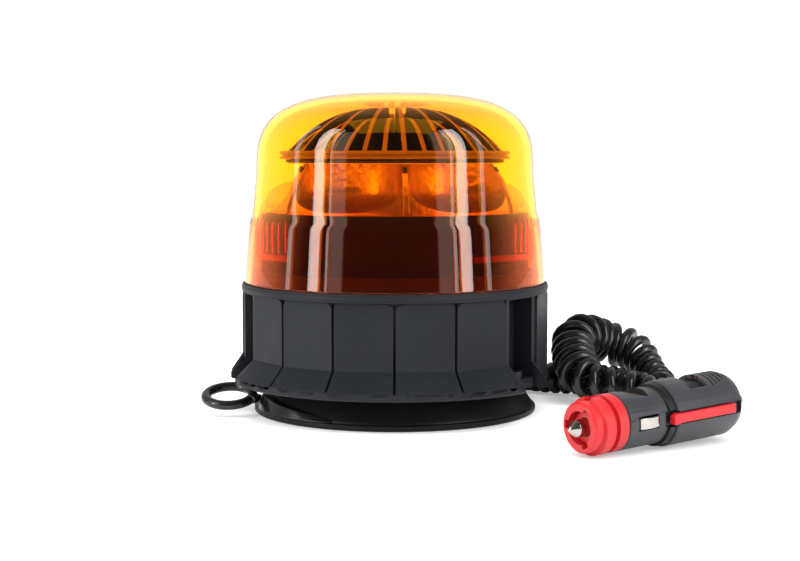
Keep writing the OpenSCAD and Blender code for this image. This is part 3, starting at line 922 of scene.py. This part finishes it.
@dataclass(frozen=True)
class Lens:
    """The clear amber cover with its rest ledges and fine inner flutes."""

    wall: float = 2.4
    crown_r: float = 56.8
    crown_z: float = 98.6
    top_z: float = 130.4
    power: float = 3.1
    crown_steps: int = 30
    side: tuple[Point2, ...] = ((58.2, 84.4), (58.6, 81.6), (59.4, 79.0), (60.0, 76.6), (62.0, 53.6))
    ledge_arcs: tuple[Point2, ...] = ((-61.0, 59.0), (182.0, 44.0))
    flute_arcs: tuple[Point2, ...] = ((-168.0, 31.0), (-35.0, 21.0))
    flute_step: float = 4.4
    flute_r: float = 57.1
    flute_z: float = 73.2
    flute_h: float = 13.0
    flute_half: float = 0.35

    def line(self, inset: float) -> list[Point2]:
        """The lens's section from the apex down.

        Args:
            inset: How far inside the outer face, in millimetres.

        Returns:
            Points (r, z) in millimetres.
        """
        points = [(0.0, self.top_z - inset)]
        rise = self.top_z - inset - self.crown_z
        for i in range(1, self.crown_steps + 1):
            a = math.pi / 2 * (1 - i / self.crown_steps)
            r = (self.crown_r - inset) * math.cos(a) ** (2 / self.power)
            points.append((r, self.crown_z + rise * math.sin(a) ** (2 / self.power)))
        return points + [(r - inset, z) for r, z in self.side]

    def build(self, finishes: Finishes) -> None:
        """Makes the cover, the ledges and the flutes.

        Args:
            finishes: Where the finishes come from.
        """
        outside, inside = self.line(0), self.line(self.wall)
        rim = [(61.6, 53.0), (62.0 - self.wall + 0.4, 53.0)]
        cover = turned("lens_cover", [*outside, *rim, *reversed(inside)], 192, closed=False)
        finishes.dress(cover, Finishes.LENS)
        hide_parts("lens")
        hand_over(cover)
        ribs = bmesh.new()
        for start, sweep in self.ledge_arcs:
            self.add_ledge(ribs, start, sweep)
        for start, sweep in self.flute_arcs:
            for k in range(int(sweep / self.flute_step) + 1):
                self.add_flute(ribs, start + k * self.flute_step)
        bmesh.ops.recalc_face_normals(ribs, faces=ribs.faces)
        inner = from_bmesh("lens_ribs", ribs)
        soften(inner, 0.2, 40)
        finishes.dress(inner, Finishes.LENS)
        hand_over(inner)

    def add_ledge(self, bm: bmesh.types.BMesh, start: float, sweep: float) -> None:
        """Adds one arc of the inner rest ledge.

        Args:
            bm: Where it goes.
            start: Its first angle in degrees.
            sweep: Its length in degrees.
        """
        section = [(57.05, 64.0), (58.6, 64.0), (58.4, 66.4), (57.05, 66.4)]
        count = int(sweep / 2)
        angles = [start + sweep * k / count for k in range(count + 1)]
        join_rows(bm, [[bm.verts.new(polar(r, angle, z)) for r, z in section] for angle in angles])

    def add_flute(self, bm: bmesh.types.BMesh, angle: float) -> None:
        """Adds one upright rib inside the lens.

        Args:
            bm: Where it goes.
            angle: Where round the axis, in degrees.
        """
        place = turned_by(angle) @ Matrix.Translation(polar(self.flute_r, 0, self.flute_z))
        bmesh.ops.create_cone(bm, cap_ends=True, segments=10, radius1=self.flute_half * MM,
                              radius2=self.flute_half * MM, depth=self.flute_h * MM, matrix=place)


# ---------------------------------------------------------------- foot and pull ring


@dataclass(frozen=True)
class Foot:
    """The rubber boot over the magnet, with the wedge beside the pull ring's strap."""

    ramp_from: float = -161.0
    ramp_sweep: float = 46.0
    ramp_r: float = 56.4
    ramp_h: float = 5.4
    ramp_steps: int = 14

    def build(self, finishes: Finishes) -> None:
        """Makes the boot and its wedge.

        Args:
            finishes: Where the finishes come from.
        """
        outline = filleted([
            (8, 13.2, 0), (51.5, 13.2, 0.5), (51.5, 11.6, 1.5), (54.4, 7, 0), (57.0, 3.2, 0.6),
            (57.25, 2.5, 0.2), (58.3, 2.2, 0.3), (58.3, 0.5, 0.5), (57.6, 0, 0.3), (48, 0, 0.3), (48, 10, 0),
            (8, 10, 0),
        ], closed=True)
        boot = turned("foot_boot", outline, 160)
        finishes.dress(boot, Finishes.RUBBER)
        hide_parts("magnet_boot")
        hand_over(boot)
        self.add_ramp(finishes)

    def add_ramp(self, finishes: Finishes) -> None:
        """The wedge on the boot's slope beside the ring's strap.

        Args:
            finishes: Where the finishes come from.
        """
        line = []
        for i in range(self.ramp_steps + 1):
            t = i / self.ramp_steps
            line.append(polar(self.ramp_r + math.sin(math.pi * t), self.ramp_from + self.ramp_sweep * t, 3.0))

        def section(t: float) -> list[Point2]:
            """The wedge's section, which sinks into the boot."""
            high = (self.ramp_h * (1 - t) ** 0.8 + 0.5) * MM
            return [(2.2 * MM, -0.4 * MM), (0.4 * MM, high), (-3.4 * MM, high), (-4.0 * MM, -0.4 * MM)]

        ramp = from_bmesh("foot_ramp", swept(line, section, Vector((0, 0, 1))))
        soften(ramp, 0.35, 25)
        finishes.dress(ramp, Finishes.RING)
        hand_over(ramp)


@dataclass(frozen=True)
class Skirt:
    """The panelled base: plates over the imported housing, its rim and its flange."""

    panels: int = 16
    corner_r: float = 60.9
    side_r: float = 62.8
    bend_z: float = 23.3
    top_z: float = 49.3
    foot_z: float = 15.7
    flange_r: float = 68.0
    gap: float = 0.5
    round_r: float = 2.4
    proud: float = 0.75
    pocket_proud: float = 0.95
    straight_fall: float = 9.4
    side_span: Point2 = (-30.0, 22.5)
    pockets: tuple[float, ...] = (-33.75, 78.75, 191.25)
    notches: tuple[Point2, ...] = ((-122.0, 13.6), (-100.0, 6.5), (20.0, 13.6), (140.0, 13.6))

    def build(self, finishes: Finishes) -> None:
        """Makes the plates, the rim and the flange.

        Args:
            finishes: Where the finishes come from.
        """
        cutter = self.cutter()
        plates = from_bmesh("skirt_panels", self.plates())
        add_modifier(plates, "SOLIDIFY", thickness=1.3 * MM, offset=-1)
        flange = turned("skirt_flange", filleted([
            (61.9, 15.6, 0), (67.6, 15.6, 0), (68.35, 15.0, 0.6), (68.35, 13.1, 0.4), (67.9, 12.85, 0.3),
            (61.9, 12.85, 0),
        ], closed=True), 160)
        for piece in (plates, flange):
            settle(piece)
            cut_by(piece, cutter)
            soften(piece, 0.3, 38)
            settle(piece)
        bpy.data.objects.remove(cutter)
        rim = turned("skirt_rim", filleted([
            (58.0, 53.0, 0), (62.3, 53.0, 0.6), (63.25, 52.0, 0.6), (63.25, 50.6, 0.4), (62.0, 49.45, 0.4),
            (58.0, 49.45, 0),
        ], closed=True), 160)
        for piece in (plates, flange, rim):
            finishes.dress(piece, Finishes.HOUSING)
            hand_over(piece)

    def radius(self, corner: int) -> float:
        """The radius of a corner between two panels."""
        return self.side_r if corner % (self.panels // 2) == 0 else self.corner_r

    def degrees(self, corner: float) -> float:
        """The direction of a corner in degrees."""
        return corner * 360 / self.panels

    def has_pocket(self, panel: int) -> bool:
        """Whether a screw pocket is cut in a panel."""
        middle = self.degrees(panel + 0.5)
        return any(abs((middle - angle + 180) % 360 - 180) < 1 for angle in self.pockets)

    def plates(self) -> bmesh.types.BMesh:
        """The outer faces of all the panels, bent over the slope except at the bulging side.

        Returns:
            One bmesh of separate sheets.
        """
        bm = bmesh.new()
        wall = self.top_z - self.bend_z
        rows = [self.round_r * (1 - math.cos(math.pi / 2 * k / 5)) for k in range(6)]
        rows += [wall * 0.5, wall - 0.6]
        for i in range(self.panels):
            proud = self.pocket_proud if self.has_pocket(i) else self.proud
            sheet = []
            for down in rows:
                reach = self.round_r - math.sqrt(max(self.round_r**2 - max(self.round_r - down, 0) ** 2, 0))
                sheet.append(self.row(bm, i, self.top_z - down, 0.0, reach, proud))
            straight = i in (0, self.panels - 1)
            for k in range(5):
                fall, slope = (self.straight_fall * k / 4, 0.0) if straight else (0.0, k / 4)
                sheet.append(self.row(bm, i, self.bend_z - fall, slope, 0.0, proud))
            for high, low in zip(sheet, sheet[1:], strict=False):
                for k in range(len(high) - 1):
                    bm.faces.new((high[k], low[k], low[k + 1], high[k + 1]))
        return bm

    def row(self, bm: bmesh.types.BMesh, panel: int, z: float, slope: float, inset: float,
            proud: float) -> list[bmesh.types.BMVert]:
        """One row of a panel's points.

        Args:
            bm: Where they go.
            panel: Which panel.
            z: Height of the wall part in millimetres.
            slope: 0 at the bend to 1 at the flange's edge.
            inset: How much narrower the row is at each end.
            proud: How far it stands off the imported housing.

        Returns:
            The row's vertices.
        """
        first, last = (polar(self.radius(corner), self.degrees(corner), z) for corner in (panel, panel + 1))
        margin = (self.gap + inset) * MM / (last - first).length
        edge_z = z + self.foot_z + 0.3 - self.bend_z
        made = []
        for k in range(9):
            share = margin + (1 - 2 * margin) * k / 8
            flat = first.lerp(last, share)
            flat += Vector((flat.x, flat.y, 0)).normalized() * proud * MM
            edge = polar(self.flange_r + 0.3, self.degrees(panel + share), edge_z)
            made.append(bm.verts.new(flat.lerp(edge, slope)))
        return made

    def cutter(self) -> bpy.types.Object:
        """Boxes that clear the screw pockets and the flange's notches.

        Returns:
            A temporary object.
        """
        bm = bmesh.new()
        boxes = [(angle, 20.0, 18.3, 33.0, 65.0, 32.4) for angle in self.pockets]
        boxes += [(angle, 10.0, 18.3, 14.0, 67.0, 17.0) for angle in self.pockets]
        boxes += [(angle, 4.0, width, 2.0, 69.0, 12.5) for angle, width in self.notches]
        for angle, deep, wide, high, r, z in boxes:
            place = turned_by(angle) @ Matrix.Translation(polar(r, 0, z))
            size = Matrix.Diagonal((deep * MM, wide * MM, high * MM, 1))
            bmesh.ops.create_cube(bm, size=1, matrix=place @ size)
        self.side_cut(bm)
        return from_bmesh("pocket_cutter", bm)

    def side_cut(self, bm: bmesh.types.BMesh) -> None:
        """Adds the block that takes the slope off below the bulging side.

        Args:
            bm: Where it goes.
        """
        start, end = self.side_span
        inner, bulge = self.corner_r + 1.1, self.side_r + 1.1
        outline = [
            (inner, start), (inner, -end), (bulge, 0.0), (inner, end),
            (80.0, end), (86.0, 0.0), (80.0, start),
        ]
        heights = (12.0, self.bend_z + 0.4)
        join_rows(bm, [[bm.verts.new(polar(r, angle, z)) for r, angle in outline] for z in heights])

    def trim(self, housing: bpy.types.Object) -> None:
        """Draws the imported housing's slope in below the bulging side, to just behind its plates.

        Args:
            housing: The housing's piece.
        """
        settle(housing)
        step = math.tau / self.panels
        for vertex in housing.data.vertices:
            at = vertex.co / MM
            turn, radius = abs(math.atan2(at.y, at.x)), math.hypot(at.x, at.y)
            if turn > step * (0.99 if at.y > 0 else 1.15) or at.z > self.bend_z + 0.4:
                continue
            across = self.side_r * math.sin(turn) + self.corner_r * math.sin(step - turn)
            limit = self.side_r * self.corner_r * math.sin(step) / across + 0.2
            if radius > limit:
                vertex.co.x *= limit / radius
                vertex.co.y *= limit / radius


@dataclass(frozen=True)
class PullRing:
    """The rubber ring that peels the magnet off, on its strap."""

    centre: Point3 = (-67.6, -13.8, 7.2)
    mid_r: float = 9.5
    bar_r: float = 2.0
    lean: float = 15.0
    root: Point3 = (-55.56, -15.93, 6.0)
    strap_end: Point3 = (-59.4, -15.0, 7.1)

    def build(self, finishes: Finishes) -> None:
        """Makes the ring and its strap.

        Args:
            finishes: Where the finishes come from.
        """
        angles = [-math.tau * k / 20 for k in range(20)]
        bar = [(self.mid_r + self.bar_r * math.cos(a), self.bar_r * 0.95 * math.sin(a)) for a in angles]
        ring = turned("pull_ring_loop", bar, 72)
        settle(ring, Matrix.Translation(Vector(self.centre) * MM) @ turned_by(self.lean, "X"))
        finishes.dress(ring, Finishes.RING)
        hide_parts("pull_ring")
        hand_over(ring, "pull_ring")
        start, end = Vector(self.root) * MM, Vector(self.strap_end) * MM
        line = [start.lerp(end, i / 4) for i in range(5)]

        def section(t: float) -> list[Point2]:
            """A flat strap that narrows a little towards the ring."""
            return flat_bar(4.1 - 0.9 * t, 1.35 + 0.25 * t)

        strap = from_bmesh("pull_ring_strap", swept(line, section, Vector((0, 0, 1))))
        soften(strap, 0.5, 40)
        finishes.dress(strap, Finishes.RING)
        hand_over(strap, "pull_ring")


# ---------------------------------------------------------------- light unit


@dataclass(frozen=True)
class LightUnit:
    """The drum, the reflector with its bowls and latches, and the finned sink behind the lens."""

    bowls: int = 6
    bowl_r: float = 23.2
    bowl_turn: float = 5.0
    bowl_power: float = 2.6
    fins: int = 36
    fin_turn: float = 5.0
    sink_z: float = 103.8
    plate_t: float = 3.2
    fin_r: float = 44.3
    fin_t: float = 1.9
    fin_rise: float = 19.6
    fin_axis_r: float = 8.0
    fin_power: float = 2.3
    fin_step: float = 0.9

    def build(self, finishes: Finishes) -> None:
        """Makes the drum, the reflector and the sink.

        Args:
            finishes: Where the finishes come from.
        """
        drum = turned("drum_wall", filleted([
            (6, 81.8, 0), (55.2, 81.8, 0.8), (55.2, 52.8, 0.4), (53.0, 52.8, 0.2), (53.0, 80.0, 0.4),
            (6, 80.0, 0),
        ], closed=True), 144)
        finishes.dress(drum, Finishes.DRUM)
        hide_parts("inner_drum")
        hand_over(drum)
        self.add_bowls(finishes)
        self.add_posts(finishes)
        self.add_gasket(finishes)
        self.add_plate(finishes)
        self.add_fins(finishes, "tall_fins", 1, 0.0, 12.0)
        self.add_fins(finishes, "short_fins", 0, 7.0, 19.0)

    def add_bowls(self, finishes: Finishes) -> None:
        """The reflector, cut by deep bowls all round.

        Args:
            finishes: Where the finishes come from.
        """
        block = turned("reflector_bowls", [
            (5, 101.8), (41.5, 101.8), (46.5, 95), (49.6, 88), (51, 83.4), (51, 81.8), (5, 81.8),
        ], 144)
        outline = [(0.0, 1.0), (self.bowl_r, 1.0)]
        for k in range(15):
            a = math.pi / 2 * k / 14
            depth = 8.6 + 10.4 * math.sin(a) ** (2 / self.bowl_power)
            outline.append((self.bowl_r * math.cos(a) ** (2 / self.bowl_power), -depth))
        cutter = turned("bowl_cutter", outline, 64, closed=False)
        settle(cutter, Matrix.Translation(polar(47.5, 0, 101.8)))
        turn_copies(cutter, self.bowls, 360 / self.bowls, turned_by(self.bowl_turn))
        settle(block)
        cut_by(block, cutter)
        bevel(block, 0.5, 35)
        even_shading(block)
        settle(block)
        bpy.data.objects.remove(cutter)
        finishes.dress(block, Finishes.REFLECTOR)
        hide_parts("reflector_ring")
        hand_over(block)

    def add_posts(self, finishes: Finishes) -> None:
        """The strips between the bowls, each with a small dark latch.

        Args:
            finishes: Where the finishes come from.
        """
        slope = [(51.4, 82.2), (51.2, 84.5), (49.9, 88.5), (46.8, 95.4), (42.0, 101.6)]
        for name, finish, slot, line, half, thick in (
            ("reflector_posts", Finishes.REFLECTOR, "reflector_metallised", slope, 1.1, 0.5),
            ("reflector_latches", Finishes.CLIP, "clip_plastic", [(44.9, 98.3), (43.6, 100.2)], 0.8, 0.9),
        ):
            bm = bmesh.new()
            for k in range(self.bowls):
                angle = self.bowl_turn + (k + 0.5) * 360 / self.bowls
                path = [polar(r, angle, z) for r, z in line]
                out = polar(1, angle).normalized()
                swept(path, lambda t, w=half, h=thick: flat_bar(w, h), out, bm)
            posts = from_bmesh(name, bm)
            soften(posts, 0.2, 30)
            finishes.dress(posts, finish)
            if slot == "clip_plastic":
                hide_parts("reflector_clips")
            hand_over(posts)

    def add_gasket(self, finishes: Finishes) -> None:
        """The dark lip round the light board's edge, under the sink.

        Args:
            finishes: Where the finishes come from.
        """
        gasket = turned("board_lip", [(43.8, 103.7), (44.9, 103.7), (44.9, 102.2), (43.8, 102.2)], 144)
        finishes.dress(gasket, Finishes.SEAL)
        hand_over(gasket)

    def add_plate(self, finishes: Finishes) -> None:
        """The sink's stepped plate and its hub.

        Args:
            finishes: Where the finishes come from.
        """
        z, top = self.sink_z, self.sink_z + self.plate_t
        plate = turned("sink_plate", filleted([
            (0, z + 16, 0), (11.9, z + 16, 0.6), (11.9, top, 0.6), (47.3, top, 0.4), (47.3, top - 1.2, 0.2),
            (46.4, top - 1.3, 0.1), (46.4, z + 1.1, 0.1), (47.3, z + 1, 0.2), (47.3, z, 0.3), (0, z, 0),
        ]), 144, closed=False)
        finishes.dress(plate, Finishes.SINK_EDGE)
        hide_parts("heat_sink")
        hand_over(plate)

    def edge(self, r: float, drop: float) -> float:
        """The height of a fin's top at a radius.

        Args:
            r: The radius in millimetres.
            drop: How much lower the fin is at the hub.

        Returns:
            The height in millimetres.
        """
        share = max(r - self.fin_axis_r, 0) / (self.fin_r - self.fin_axis_r)
        height = self.fin_rise * (1 - share**self.fin_power) - drop * (self.fin_r - r) / self.fin_r
        return self.sink_z + self.plate_t + height

    def add_fins(self, finishes: Finishes, name: str, first: int, drop: float, inner_r: float) -> None:
        """Every second fin, as one fin and its array.

        Args:
            finishes: Where the finishes come from.
            name: The piece's name.
            first: Which fin it starts at.
            drop: How much lower the fins are at the hub.
            inner_r: Where their upper part ends, in millimetres from the axis.
        """
        low = self.sink_z + self.plate_t - 0.4
        steps = int((self.fin_r - inner_r) / self.fin_step)
        radii = [self.fin_r - self.fin_step * k for k in range(steps + 1)]
        outline = [(self.fin_r, low)] + [(r, self.edge(r, drop)) for r in radii]
        outline += [(inner_r - 0.6, outline[-1][1] - 3), (10.8, low + 9), (10.8, low)]
        bm = bmesh.new()
        faces_y = (-self.fin_t / 2, self.fin_t / 2)
        join_rows(bm, [[bm.verts.new(Vector((r, y, z)) * MM) for r, z in outline] for y in faces_y])
        # The fins' side faces take the painted shade of the gaps between them; the quad faces round each
        # fin's edge keep the sink's lighter colour.
        for face in bm.faces:
            face.material_index = 1 if len(face.verts) == 4 else 0
        turn = 360 / self.fins
        bm.transform(turned_by(self.fin_turn + first * turn))
        fins = from_bmesh(name, bm)
        bevel(fins, 0.2, 40)
        turn_copies(fins, self.fins // 2, 2 * turn)
        even_shading(fins)
        finishes.dress(fins, Finishes.SINK_SIDE_SHADE, Finishes.SINK_EDGE)
        hand_over(fins)


# ---------------------------------------------------------------- plug and remaining CAD pieces


@dataclass(frozen=True)
class Plug:
    """The plug's upper shell and adapter with their recesses, and its two lock sliders."""

    at: Point3 = (64.6, -108, 10.5)
    heading: float = 34.4
    rise: float = 2.6
    grip_r: float = 12.0
    barrel_r: float = 10.4
    cut_r: float = 14.0
    thumb: Point2 = (46.0, 55.0)
    scoop: Point2 = (17.2, 28.6)
    key_angles: tuple[float, ...] = (35.0, 155.0, 275.0)

    @property
    def place(self) -> Matrix:
        """Where the plug's own axis lies."""
        return Matrix.Translation(Vector(self.at) * MM) @ turned_by(self.heading) @ turned_by(-self.rise, "Y")

    def build(self, finishes: Finishes) -> dict[str, bpy.types.Object]:
        """Makes the plug's own pieces.

        Args:
            finishes: Where the finishes come from.

        Returns:
            The pieces by CAD node.
        """
        pieces = {
            "plug_shell_upper": self.cut("plug_shell_upper", self.thumb_cuts()),
            "plug_adapter": self.cut("plug_adapter", self.key_cuts()),
            "lock_slider_left": self.slider("lock_slider_left", 1),
            "lock_slider_right": self.slider("lock_slider_right", -1),
        }
        shell = pieces["plug_shell_upper"]
        self.paint_recess_shade(shell)
        for node, piece in pieces.items():
            coats, slot = ((Finishes.RED,), "red_plastic")
            # The shell's second coat, the collar's near-black plastic, is painted shade in its thumb recess
            # and scoop.
            if piece is shell:
                coats, slot = ((Finishes.PLUG, Finishes.COLLAR_AND_RECESS_SHADE), "plug_plastic")
            finishes.dress(piece, *coats)
            hand_over(piece, bpy.data.objects[node]["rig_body"])
        return pieces

    def cut(self, node: str, cutter: bmesh.types.BMesh) -> bpy.types.Object:
        """A rounded copy of a CAD node with more cut out of it.

        Args:
            node: The CAD node.
            cutter: What is cut out, on the plug's own axis.

        Returns:
            The new piece.
        """
        tool = from_bmesh(f"{node}_cutter", cutter)
        tool.data.transform(self.place)
        piece = merged(node, f"{node}_shape")
        cut_by(piece, tool)
        soften(piece, 0.3, SHARP)
        settle(piece)
        bpy.data.objects.remove(tool)
        return piece

    def paint_recess_shade(self, shell: bpy.types.Object) -> None:
        """Paints shade into the thumb recess and the scoop: their faces get the second kind of face, the
        near-black collar plastic.

        Args:
            shell: The upper shell.
        """
        back = self.place.inverted()
        for face in shell.data.polygons:
            at = back @ face.center / MM
            radius = math.hypot(at.y, at.z)
            in_thumb = self.thumb[0] - 0.1 < at.x < self.thumb[1] + 0.1 and 9 < radius < self.grip_r - 0.6
            in_scoop = self.scoop[0] - 0.2 < at.x < self.scoop[1] + 0.1 and 7.7 < radius < self.barrel_r - 0.2
            if at.z > 4 and (in_thumb or in_scoop):
                face.material_index = 1

    def thumb_cuts(self) -> bmesh.types.BMesh:
        """The thumb recess, the grip grooves behind it and the scoop on the barrel."""
        bm = bmesh.new()
        self.wedge(bm, *self.thumb, self.grip_r - 1.3, 42)
        for i in range(5):
            self.wedge(bm, 57.2 + 2.1 * i, 58.3 + 2.1 * i, self.grip_r - 0.9, 44 - 3 * i)
        front, back = self.scoop
        brim, deepest = (self.barrel_r + 0.2, self.barrel_r - 2.0)
        hollow = [(front, brim), (27.4, deepest), (back, brim), (back, self.cut_r), (front, self.cut_r)]
        join_rows(bm, [[bm.verts.new(Vector((x, y, z)) * MM) for x, z in hollow] for y in (-9, 9)])
        return bm

    def key_cuts(self) -> bmesh.types.BMesh:
        """The three key slots in the adapter's mouth."""
        bm = bmesh.new()
        box = [(-1.0, 5.0), (2.5, 5.0), (2.5, 7.5), (-1.0, 7.5)]
        for angle in self.key_angles:
            turn = turned_by(angle, "X")
            rows = [[Vector((x, y, z)) * MM for x, z in box] for y in (-1.5, 1.5)]
            join_rows(bm, [[bm.verts.new(turn @ corner) for corner in row] for row in rows])
        return bm

    def wedge(self, bm: bmesh.types.BMesh, low: float, high: float, inner_r: float, half: float) -> None:
        """Adds part of a thick ring about the plug's axis, centred on its top.

        Args:
            bm: Where it goes.
            low: Where it starts along the axis, in millimetres.
            high: Where it ends.
            inner_r: Its inner radius in millimetres.
            half: Half of the angle that it spans, in degrees.
        """
        section = [(low, inner_r), (high, inner_r), (high, self.cut_r), (low, self.cut_r)]
        rows = []
        for k in range(25):
            a = math.radians(-half + 2 * half * k / 24)
            way = Vector((0, math.sin(a), math.cos(a)))
            rows.append([bm.verts.new((Vector((x, 0, 0)) + way * r) * MM) for x, r in section])
        join_rows(bm, rows)

    def slider(self, node: str, side: int) -> bpy.types.Object:
        """A red bar with a hooked head, lying in the grip's side.

        Args:
            node: The CAD node that it replaces.
            side: Which side of the plug, 1 or -1.

        Returns:
            The new piece.
        """
        outline = [
            (34.0, -2.15), (36.6, -2.15), (37.2, -1.75), (64.6, -1.75), (64.6, 1.75), (35.2, 1.75),
            (34.0, 1.0),
        ]
        faces_y = (side * 9.8, side * 12.75)
        bm = bmesh.new()
        join_rows(bm, [[bm.verts.new(Vector((x, y, z)) * MM) for x, z in outline] for y in faces_y])
        piece = from_bmesh(f"{node}_shape", bm)
        piece.data.transform(self.place)
        soften(piece, 0.7, 25, 3)
        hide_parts(node)
        return settle(piece)


@dataclass(frozen=True)
class CadPieces:
    """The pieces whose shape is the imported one, with rounded edges and a finish."""

    looks: dict[str, Moulded | Metal] = field(default_factory=lambda: {
        "boot_rubber": Finishes.RUBBER, "cup_steel": Finishes.STEEL, "magnet_ferrite": Finishes.FERRITE,
        "screw_steel": Finishes.STEEL, "cover_plastic": Finishes.HOUSING, "seal_rubber": Finishes.SEAL,
        "vent_plastic": Finishes.VENT, "housing_plastic": Finishes.HOUSING, "board_green": Finishes.BOARD,
        "capacitor_can": Finishes.CAN, "inductor_winding": Finishes.WINDING, "chip_epoxy": Finishes.CHIP,
        "connector_plastic": Finishes.CONNECTOR, "wire_red": Finishes.WIRE_RED,
        "wire_yellow": Finishes.WIRE_YELLOW, "clip_plastic": Finishes.CLIP,
        "board_white": Finishes.WHITE_BOARD, "led_phosphor": Finishes.LED, "pad_grey": Finishes.PAD,
        "reflector_metallised": Finishes.REFLECTOR,
        "cord_jacket": Finishes.JACKET, "plug_plastic": Finishes.PLUG, "red_plastic": Finishes.RED,
        "nickel": Finishes.NICKEL, "spring_steel": Finishes.STEEL, "fuse_glass": Finishes.FUSE,
        "brass": Finishes.BRASS,
    })
    exceptions: dict[str, Moulded | Metal] = field(default_factory=lambda: {
        "base_screws": Finishes.DARK_STEEL, "plug_collar": Finishes.COLLAR_AND_RECESS_SHADE, "plug_nose": Finishes.RED,
    })
    bevels: dict[str, float] = field(default_factory=lambda: {
        "base_housing": 0.12, "plug_shell_lower": 0.3, "plug_collar": 0.3, "reflector_ring": 0.4,
        "tip_contact": 0.25, "side_contact_left": 0.3, "side_contact_right": 0.3, "base_screws": 0.4,
    })
    usual_bevel: float = 0.15

    def build(self, finishes: Finishes, frame: dict) -> dict[str, bpy.types.Object]:
        """Makes every piece that no other part of the script has replaced.

        Args:
            finishes: Where the finishes come from.

        Returns:
            The new pieces by CAD node.
        """
        pieces = {}
        for part in frame["record"]["subparts"]:
            node = part["node"]
            source = frame["nodes"][node]
            if source.hide_render:
                continue
            slot = part["material_slot"]
            piece = merged(node, f"{node}_shape")
            width = self.bevels.get(node, self.usual_bevel)
            bevel(piece, width, SHARP, use_clamp_overlap=True, harden_normals=True)
            finishes.dress(piece, self.exceptions.get(node, self.looks[slot]))
            pieces[node] = hand_over(piece, source["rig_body"])
        return pieces


def main() -> None:
    """Builds the beacon's looks in order."""
    logging.basicConfig(level=logging.INFO, format="%(message)s")
    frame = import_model()
    finishes = Finishes()
    studio = Studio()
    studio.add_camera()
    cord = CurlyCord()
    wire = cord.build(finishes)
    Lens().build(finishes)
    Foot().build(finishes)
    skirt = Skirt()
    skirt.build(finishes)
    PullRing().build(finishes)
    LightUnit().build(finishes)
    pieces = Plug().build(finishes) | CadPieces().build(finishes, frame)
    skirt.trim(pieces["base_housing"])
    studio.add_floor()
    studio.add_surroundings()
    studio.add_softboxes()
    bpy.context.scene.view_settings.view_transform = "Standard"


if __name__ == "__main__":
    main()
